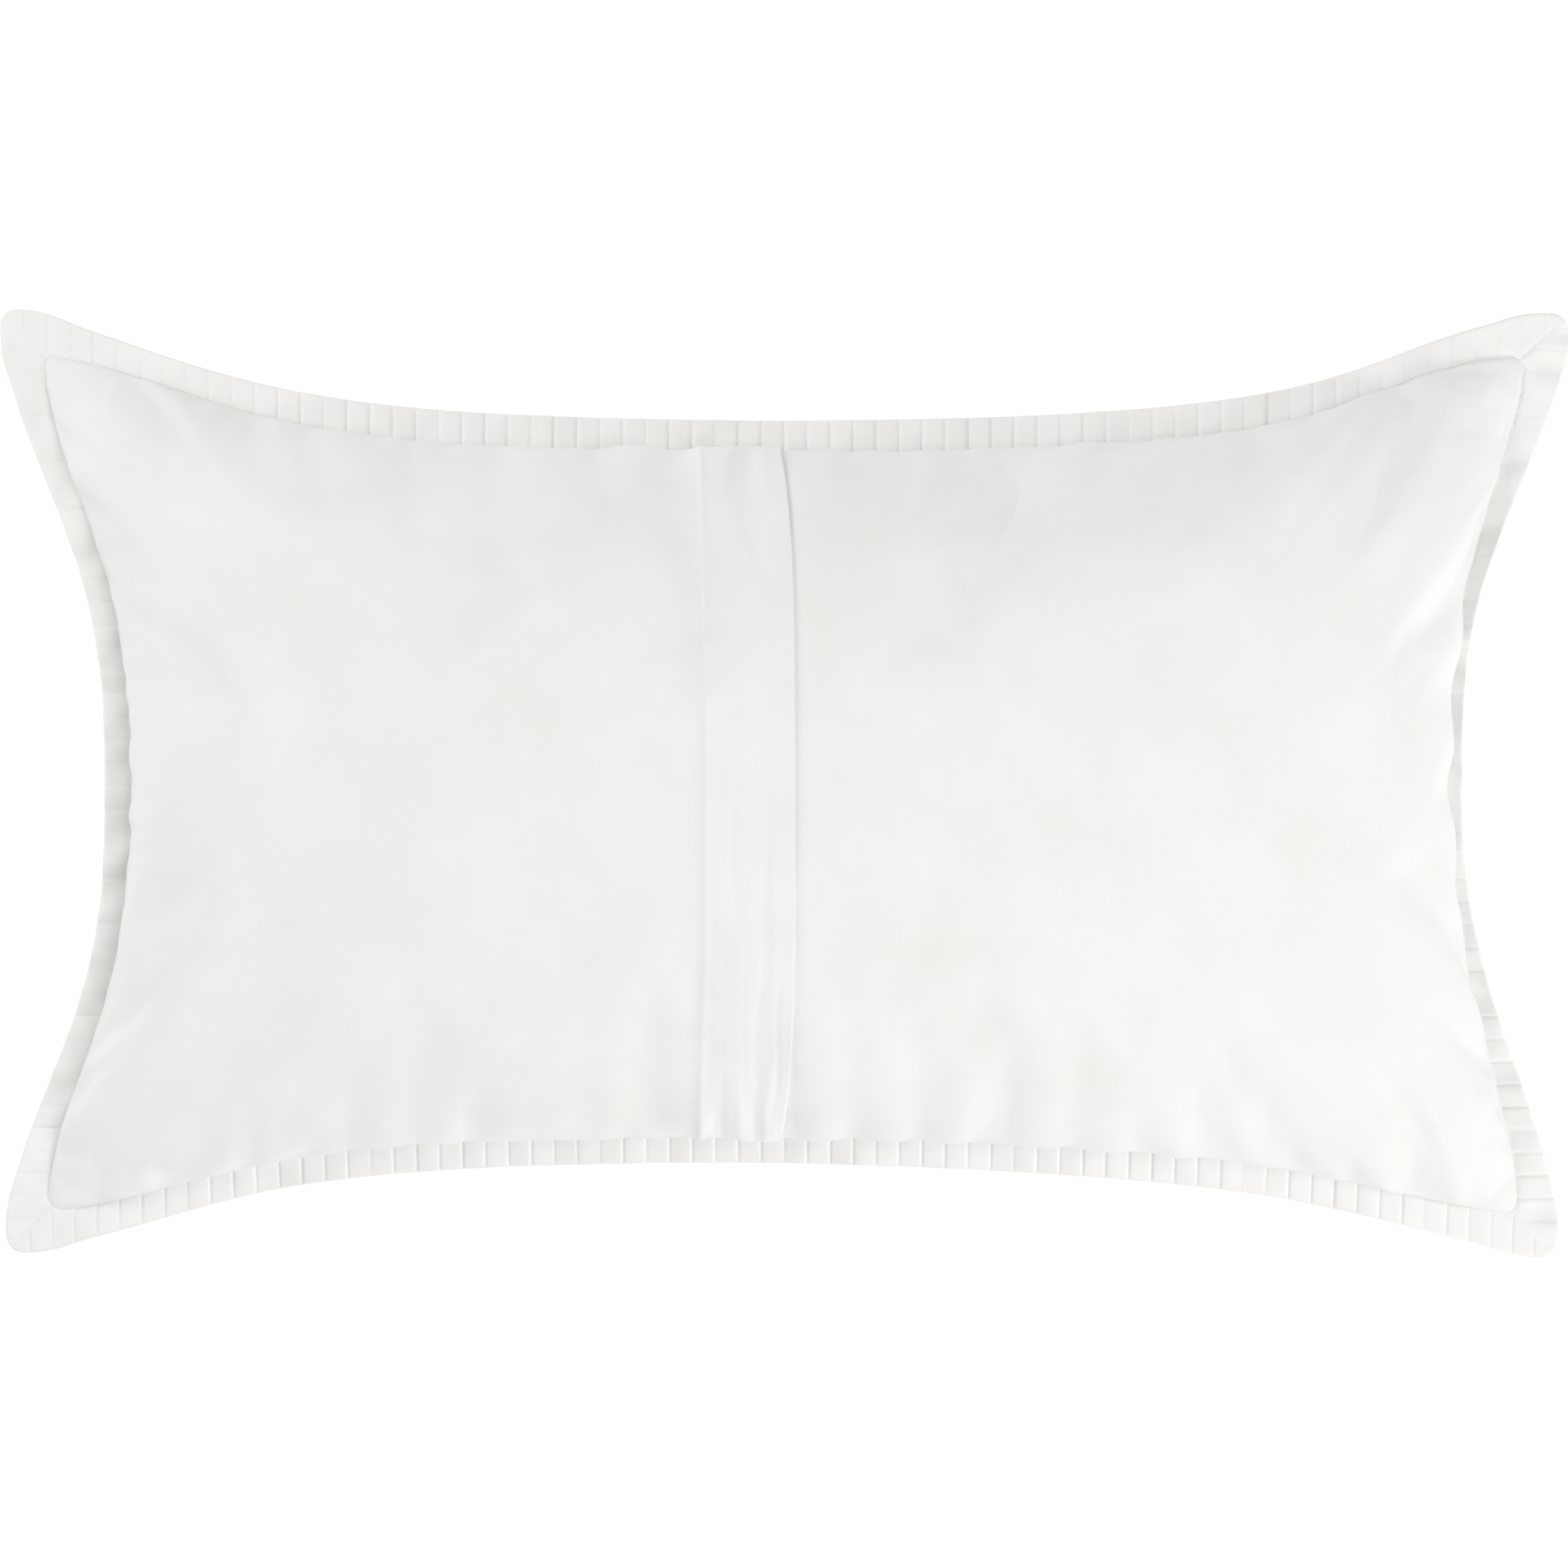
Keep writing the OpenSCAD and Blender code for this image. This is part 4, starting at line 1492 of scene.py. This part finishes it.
@dataclass(frozen=True)
class Strip:
    """One side of the flange, seen with its own edge upwards: x along it, y out from the middle."""

    name: str
    turn: int
    half: float
    depth: float
    sag: float
    rise: Callable[[Array], Array]
    width: float
    height: float
    seed: int
    pitch: float = 13.5 * MM
    corner: float = 10 * MM
    inner_corner: float = 8 * MM
    full: float = 1.5 * MM
    pinched: float = 0.45 * MM
    groove: float = 0.95 * MM
    calm: tuple[tuple[float, float], ...] = ()
    lean: float = 0.0
    ruffle: float = 1.5 * MM
    mottle: float = 0.2 * MM
    tuck: float = 1.0 * MM
    rolled: float = 1.5 * MM
    thinnest: float = 0.35 * MM

    @property
    def inner_end(self) -> float:
        """Gives the place along the strip where its seam meets the mitre, on the rounded corner."""
        return self.half - self.width - self.inner_corner * (1 - np.sqrt(0.5))

    def seam_line(self, x: Array) -> Array:
        """Gives the distance of the strip's inner line from the middle.

        Formula: the seam bows in by the sag times one less the rise and turns the corner on a
        quarter circle, halfway round which the mitre takes over and runs out at 45 degrees.

        Args:
            x: Places along the strip.

        Returns:
            The distance at each place.
        """
        inner = self.half - self.width
        into = np.clip(np.abs(x) - inner + self.inner_corner, 0, self.inner_corner * np.sqrt(0.5))
        drop = self.inner_corner - np.sqrt(self.inner_corner**2 - into**2)
        beyond = np.maximum(np.abs(x) - self.inner_end, 0)
        return self.depth - self.width - self.sag * (1 - self.rise(x / inner)) - drop + beyond

    def outer_line(self, x: Array) -> Array:
        """Gives the outer edge's distance from the middle.

        Formula: the edge bows in as the seam does, eases out to the strip's full depth near its
        ends and is rounded off by a quarter circle at the corners.

        Args:
            x: Places along the strip.

        Returns:
            The distance at each place.
        """
        into = np.clip(np.abs(x) - self.half + self.corner, 0, self.corner)
        drop = self.corner - np.sqrt(self.corner**2 - into**2)
        edge = self.depth - self.sag * (1 - self.rise(x / self.half))
        near_end = smooth((np.abs(x) - self.half + 50 * MM) / (47 * MM))
        return edge + (self.depth - edge) * near_end - drop

    def grid(self) -> tuple[Array, Array]:
        """Lays a grid over the strip.

        Formula: columns stand straight and end on the mitres. They crowd at each channel, and
        more are added at the corners, all on whole steps so that none fall too close together.
        Rows crowd at the seam and more so at the outer edge, where the cloth turns over.

        Returns:
            The x and the y of the grid's points.
        """
        step = 0.1 * MM
        end = self.half - self.corner * (1 - np.sqrt(0.5)) - 3 * step
        count = int(self.half / self.pitch) + 1
        beside = np.array([0.035, 0.07, 0.12, 0.2, 0.34])
        crowded = np.concatenate([[-0.5], -beside[::-1], [0], beside])
        lines = (np.arange(-count, count + 1)[:, None] + crowded).ravel() * self.pitch
        cornered = np.linspace(self.inner_end - self.inner_corner, end, 44)
        lines = np.concatenate([lines[np.abs(lines) < end - 5 * step], cornered, -cornered])
        x = np.unique(np.rint(lines / step))[:, None] * step
        rows = np.array([0, 0.04, 0.09, 0.15, 0.25, 0.4, 0.55, 0.7, 0.82, 0.9, 0.95, 0.975, 0.99, 1])
        tucked = self.tuck * (1 - smooth((np.abs(x) - self.inner_end + 2 * MM) / (2 * MM)))
        inner_y, outer_y = self.seam_line(x) - tucked, self.outer_line(x)
        return x + 0 * rows, inner_y + (outer_y - inner_y) * rows

    def slope(self, x: Array) -> Array:
        """Gives the rise per metre outwards of the leaning strip, which lies level near its ends."""
        return self.lean / self.width * (1 - smooth((np.abs(x) - self.half + 170 * MM) / (130 * MM)))

    def middle(self, x: Array, y: Array) -> Array:
        """Gives the height of the strip's middle layer.

        Formula: the seam's height, plus ruffles of two random wavelengths that grow towards the
        outer edge and are calmer at the ends, plus fine mottling, plus the lean.

        Args:
            x: Places along the strip.
            y: Places out from the middle.

        Returns:
            The height at each place.
        """
        out = np.clip((y - self.seam_line(x)) / self.width, 0, 1)
        ends = 1 - 0.6 * smooth((np.abs(x) - self.half + 90 * MM) / (80 * MM))
        wavy = 0.7 * waves(x, 150 * MM, self.seed) + 0.45 * waves(x, 62 * MM, self.seed + 1)
        ruffled = self.ruffle * out**1.3 * ends * wavy
        mottled = self.mottle * ripple(x, y, 26 * MM, self.seed + 2) * smooth(2 * out)
        return self.height + ruffled + mottled + self.slope(x) * out * self.width

    def thickness(self, x: Array, y: Array, side: Side) -> Array:
        """Gives the distance from the middle layer to one face.

        Formula: each cell between two channels is a shallow arch with its own small tilt, cut
        by a bell-shaped groove at each channel. It is pinched at the seam, half as much at the
        mitres, and rounded off as a quarter ellipse at the outer edge.

        Args:
            x: Places along the strip.
            y: Places out from the middle.
            side: The face.

        Returns:
            The distance at each place.
        """
        drawn = np.prod([1 - 0.85 * hump(x, centre, reach) for centre, reach in self.calm], axis=0)
        arch, groove = self._cells(x, side)
        from_seam = y - self.seam_line(x)
        from_edge = np.maximum(self.outer_line(x) - y, 0)
        sewn = smooth(from_seam / (2 * MM)) * smooth(from_edge / self.rolled)
        padded = np.maximum(self.full + drawn * (arch - groove * sewn), self.thinnest)
        mitred = 0.5 * smooth((np.abs(x) - self.inner_end - 3 * MM) / (8 * MM))
        pinched = self.pinched + (self.full - self.pinched) * mitred
        held = pinched + (padded - pinched) * smooth(from_seam / (3 * MM))
        roll = np.clip(1 - from_edge / self.rolled, 0, 1)
        return held * np.sqrt(np.maximum(1 - roll**2, 0.02**2))

    def _cells(self, x: Array, side: Side) -> tuple[Array, Array]:
        """Gives the swell of the cells between channels, and the channels' grooves.

        Formula: a cell is a shallow parabola with its own random tilt and puff. A channel is a
        bell with its own random depth.

        Args:
            x: Places along the strip.
            side: The face.

        Returns:
            The height of the swell over the full thickness, and the depth of the grooves.
        """
        rng = np.random.default_rng(self.seed + 5 + side.value)
        count = 2 * int(self.half / self.pitch) + 8
        tilts = rng.normal(0, 0.26, count) * MM
        puffs = rng.normal(0, 0.12, count) * MM
        depths = self.groove * np.clip(rng.normal(0.85, 0.25, count), 0.25, 1.1)
        number, line = np.floor(x / self.pitch), np.rint(x / self.pitch)
        cell, channel = ((place + count // 2).astype(int) for place in (number, line))
        across = 2 * (x / self.pitch - number) - 1
        arch = (tilts[cell] * across + puffs[cell]) * (1 - across**6) - 0.3 * MM * across**2
        return arch, depths[channel] * hump(x - line * self.pitch, 0, 0.75 * MM)

    def face(self, x: Array, y: Array, side: Side, share: float = 1.0) -> Array:
        """Places points on one face of the strip, turned to its own side of the pillow.

        Args:
            x: Places along the strip.
            y: Places out from the middle.
            side: The face.
            share: Share of the way from the middle layer to the face.

        Returns:
            The points.
        """
        z = self.middle(x, y) + side.value * share * self.thickness(x, y, side)
        seam = self.seam_line(x)
        y = seam + (y - seam) * np.sqrt(1 - self.slope(x) ** 2)
        turn = np.radians(self.turn)
        turned_x = x * np.cos(turn) - y * np.sin(turn)
        turned_y = x * np.sin(turn) + y * np.cos(turn)
        return np.stack([turned_x, turned_y, z], axis=-1)


@dataclass(frozen=True)
class Flange:
    """The quilted flange: four mitred strips, each of two plies with wadding between them."""

    body: Body
    settle: Settle
    finishes: Finishes
    half_length: float
    half_width: float
    stitch_pitch: float = 3.1 * MM
    stitch_radius: float = 0.2 * MM
    ply_share: float = 0.76
    wadding_share: float = 0.97

    def strips(self) -> list[Strip]:
        """Lists the four strips with their sizes.

        Returns:
            The strips.
        """
        length, depth, body = self.half_length, self.half_width, self.body
        width = length - body.half_length
        long = (length, depth, body.long_sag, long_rise, width, body.seam_height)
        short = (depth, length, body.short_sag, short_rise, width, body.seam_height)
        return [
            Strip("top", 0, *long, seed=101, calm=((-365 * MM, 65 * MM), (395 * MM, 60 * MM))),
            Strip("bottom", 180, *long, seed=202, lean=-11 * MM),
            Strip("left", 90, *short, seed=303, groove=0.25 * MM, lean=9 * MM, mottle=0.8 * MM),
            Strip("right", -90, *short, seed=404, groove=0.7 * MM, lean=12 * MM, mottle=0.6 * MM,
                  calm=((-200 * MM, 90 * MM), (0, 90 * MM))),
        ]

    def build(self) -> None:
        """Builds every strip with its channel stitches, and the stitches of the seam and mitres."""
        for strip in self.strips():
            self._strip(strip)
            self._channel_stitches(strip)
        self._seam_stitches()
        self._mitre_stitches()

    def _strip(self, strip: Strip) -> None:
        """Makes one strip's two plies and its wadding.

        Args:
            strip: The strip.
        """
        x, y = strip.grid()
        uv = np.tile(np.stack([x, y], axis=-1).reshape(-1, 2), (2, 1))

        def layer(side: Side, share: float) -> Array:
            """Places one layer, at its share of the way from the middle to a face."""
            return self.settle.apply(strip.face(x, y, side, share))

        for side, word in SIDE_WORDS.items():
            shape = facing(layer(side, 1.0), layer(side, self.ply_share), side)
            add_piece(f"flange_{strip.name}_{word}_cloth", shape, uv,
                                   self.finishes.quilted_sateen,
                                   (f"flange_{strip.name}_{word}_ply",))
        inside = self.wadding_share * self.ply_share
        shape = closed_sheet(layer(Side.BACK, inside), layer(Side.FRONT, inside))
        padding = add_piece(f"flange_{strip.name}_padding", shape, uv, self.finishes.wadding,
                            (f"flange_{strip.name}_wadding",))

    def _channel_stitches(self, strip: Strip) -> None:
        """Sews the channels: on each line, stitches from the seam to the outer edge on both faces.

        Args:
            strip: The strip.
        """
        inset = 2.2 * MM
        count = int((strip.half - strip.corner) / strip.pitch)
        lines = np.arange(-count, count + 1) * strip.pitch
        steps = np.arange(int(strip.width / self.stitch_pitch) + 1) * self.stitch_pitch
        x = np.repeat(lines, len(steps))
        y = strip.seam_line(x) + inset + np.tile(steps, len(lines))
        kept = y < strip.outer_line(x) - inset
        x, y = x[kept], y[kept]
        self._sew(f"channel_stitches_{strip.name}", [(strip, x, y, 0 * x, 0 * x + 1)],
                  f"channel_stitching_{strip.name}")

    def _seam_stitches(self) -> None:
        """Sews round the seam, just outside it."""
        beside = 1.4 * MM
        rows = []
        for strip in self.strips():
            end = strip.inner_end
            x = np.arange(-end, end, self.stitch_pitch)
            y = strip.seam_line(x) + beside
            rows.append((strip, x, y, 0 * x + 1, np.gradient(y, x)))
        self._sew("seam_stitches", rows, "seam_stitching")

    def _mitre_stitches(self) -> None:
        """Sews the four mitres from the body's corner towards the flange's."""
        rows = []
        for strip in self.strips():
            end = strip.inner_end
            step = np.arange(2.5 * MM, strip.width - 5 * MM, self.stitch_pitch * np.sqrt(0.5))
            x, y = end + step, strip.seam_line(np.array(end)) + step
            rows.append((strip, x, y, 0 * x + 1, 0 * x + 1))
        self._sew("mitre_stitches", rows, "mitre_stitching")

    def _sew(self, name: str, rows: list[tuple[Strip, Array, Array, Array, Array]], node: str) -> None:
        """Makes one piece of stitches lying on both faces of the strips.

        Args:
            name: Name of the piece.
            rows: For each row its strip, the stitches' x and y, and their heading's x and y.
            node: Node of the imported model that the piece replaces.
        """
        parts = []
        ahead = 0.5 * MM
        for strip, x, y, way_x, way_y in rows:
            size = np.hypot(way_x, way_y)
            way_x, way_y = way_x / size * ahead, way_y / size * ahead
            for side in Side:
                before, centres, after = (
                    self.settle.apply(strip.face(x + step * way_x, y + step * way_y, side))
                    for step in (-1, 0, 1)
                )
                heading = unit(after - before)
                out = square_to(heading, np.array([0.0, 0.0, float(side.value)]))
                raised = centres + out * 0.4 * self.stitch_radius
                parts.append(stitches(raised, heading, out, 0.74 * self.stitch_pitch, self.stitch_radius))
        add_stitches(name, join_parts(parts), self.finishes.thread, node)


# ---- Insert ----


@dataclass(frozen=True)
class Insert:
    """The filled insert inside the cover: two ticking panels, their sewn edge and the fibre."""

    body: Body
    settle: Settle
    finishes: Finishes
    ticking_depth: float = 6 * MM
    ticking: float = 0.5 * MM
    fibre_depth: float = 8 * MM
    stitch_pitch: float = 3.5 * MM
    stitch_length: float = 2.2 * MM
    stitch_radius: float = 0.22 * MM

    def build(self) -> None:
        along = crowd(np.linspace(-1, 1, 121))[:, None]
        across = crowd(np.linspace(-1, 1, 81))[None, :]
        u, v = np.broadcast_arrays(along, across)
        uv = np.tile(flat_places(u, v), (2, 1))
        for side, word in SIDE_WORDS.items():
            outer = self._layer(u, v, side, self.ticking_depth)
            inner = self._layer(u, v, side, self.ticking_depth + self.ticking)
            panel = add_piece(f"insert_{word}_cloth", facing(outer, inner, side), uv,
                              self.finishes.ticking, (f"insert_ticking_{word}",))
        shape = closed_sheet(self._layer(u, v, Side.BACK, self.fibre_depth),
                             self._layer(u, v, Side.FRONT, self.fibre_depth))
        filling = add_piece("fibre_filling", shape, uv, self.finishes.fibre,
                            ("fill_core",))
        self._edge_stitches()

    def _layer(self, u: Array, v: Array, side: Side, depth: float) -> Array:
        """Places one smooth layer at its depth, its rim drawn in by the same depth."""
        return self.settle.apply(self.body.point(u, v, side, depth))

    def _edge_stitches(self) -> None:
        """Oversews the insert's edge with slanting stitches, all round its outline."""
        fine = np.linspace(-1, 1, 1500)
        end = np.ones_like(fine)
        u = np.concatenate([fine, end, -fine, -end])
        v = np.concatenate([end, -fine, -end, fine])
        path = self.body.point(u, v, Side.BACK, self.ticking_depth - 0.6 * MM)
        path[..., 2] = self.body.seam_height
        centres, _ = evenly(path, self.stitch_pitch)
        tangent = unit(np.gradient(centres, axis=0))
        up = np.array([0.0, 0.0, 1.0])
        heading = unit(up + 0.6 * tangent)
        out = square_to(heading, np.cross(up, tangent))
        shape = stitches(self.settle.apply(centres), heading, out, self.stitch_length, self.stitch_radius)
        add_stitches("insert_edge_stitches", shape, self.finishes.thread, "insert_edge_seam")


# ---- Studio ----


@dataclass(frozen=True)
class Studio:
    """A plain white floor, soft lights and a camera that looks straight down."""

    length: float
    seam_height: float
    camera_height: float = 4.0
    sensor: float = 36.0
    floor_size: float = 40.0
    softbox_size: float = 2.0
    softbox_distance: float = 3.2
    sky_strength: float = 0.45

    def build(self) -> None:
        """Builds the floor, the lights, the sky and the camera."""
        self._floor()
        self._softbox("key_softbox", azimuth=-42, elevation=30, power=38.0)
        self._softbox("right_softbox", azimuth=0, elevation=60, power=22.0)
        self._softbox("left_softbox", azimuth=155, elevation=32, power=37.0)
        self._sky()
        self._camera()
        scene = bpy.context.scene
        scene.view_settings.view_transform = "Standard"
        scene.view_settings.look = "None"

    def _floor(self) -> None:
        """Lays a white floor that mostly glows by itself, as a light table does."""
        half = self.floor_size / 2
        corners = [(-half, -half, 0), (half, -half, 0), (half, half, 0), (-half, half, 0)]
        mesh = bpy.data.meshes.new("floor")
        mesh.from_pydata(corners, [], [(0, 1, 2, 3)])
        material, tree = empty_material("white_acrylic_light_table")
        surface = add_node(tree, "ShaderNodeBsdfPrincipled", None, {
            "Base Color": linear("707070"),
            "Roughness": 1.0,
            "Specular IOR Level": 0.0,
            "Emission Color": linear("FFFFFF"),
            "Emission Strength": 0.9,
        })
        add_node(tree, "ShaderNodeOutputMaterial", None, {"Surface": surface.outputs["BSDF"]})
        mesh.materials.append(material)
        floor = bpy.data.objects.new("floor", mesh)
        bpy.context.scene.collection.objects.link(floor)

    def _softbox(self, name: str, azimuth: float, elevation: float, power: float) -> None:
        """Hangs a square softbox round the pillow, facing it.

        Args:
            name: Name of the light.
            azimuth: Way from the pillow to the light in plan, in degrees from +X.
            elevation: Height of the light as an angle, in degrees.
            power: Its power in watts.
        """
        turn, rise = np.radians(azimuth), np.radians(elevation)
        data = bpy.data.lights.new(name, "AREA")
        data.size = self.softbox_size
        data.energy = power
        light = bpy.data.objects.new(name, data)
        away = np.array([np.cos(turn) * np.cos(rise), np.sin(turn) * np.cos(rise), np.sin(rise)])
        light.location = away * self.softbox_distance + np.array([0, 0, self.seam_height])
        light.rotation_euler = (np.pi / 2 - rise, 0, turn + np.pi / 2)
        bpy.context.scene.collection.objects.link(light)

    def _sky(self) -> None:
        """Fills the room with even white light."""
        world = bpy.data.worlds.new("white_room")
        world.use_nodes = True
        background = world.node_tree.nodes["Background"]
        background.inputs["Color"].default_value = linear("FFFFFF")
        background.inputs["Strength"].default_value = self.sky_strength
        bpy.context.scene.world = world

    def _camera(self) -> None:
        """Sets the camera so that the seam's level just fills the picture from side to side."""
        data = bpy.data.cameras.new("camera")
        data.sensor_width = self.sensor
        data.lens = self.sensor * (self.camera_height - self.seam_height) / self.length
        camera = bpy.data.objects.new("camera", data)
        camera.location = (0, 0, self.camera_height)
        bpy.context.scene.collection.objects.link(camera)
        bpy.context.scene.camera = camera


def main() -> None:
    """Builds the pillow's parts in order, then the studio."""
    logging.basicConfig(level=logging.INFO, format="%(name)s: %(message)s")
    body = Body.from_frame()
    half_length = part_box("flange_right_wadding")[1].x
    half_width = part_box("flange_top_wadding")[1].y
    settle = Settle(half_length, half_width)
    finishes = Finishes.make()
    Insert(body, settle, finishes).build()
    cover = Cover(body, settle, finishes)
    cover.dress(cover.build())
    Flange(body, settle, finishes, half_length, half_width).build()
    Studio(2 * half_length, body.seam_height).build()


if __name__ == "__main__":
    main()
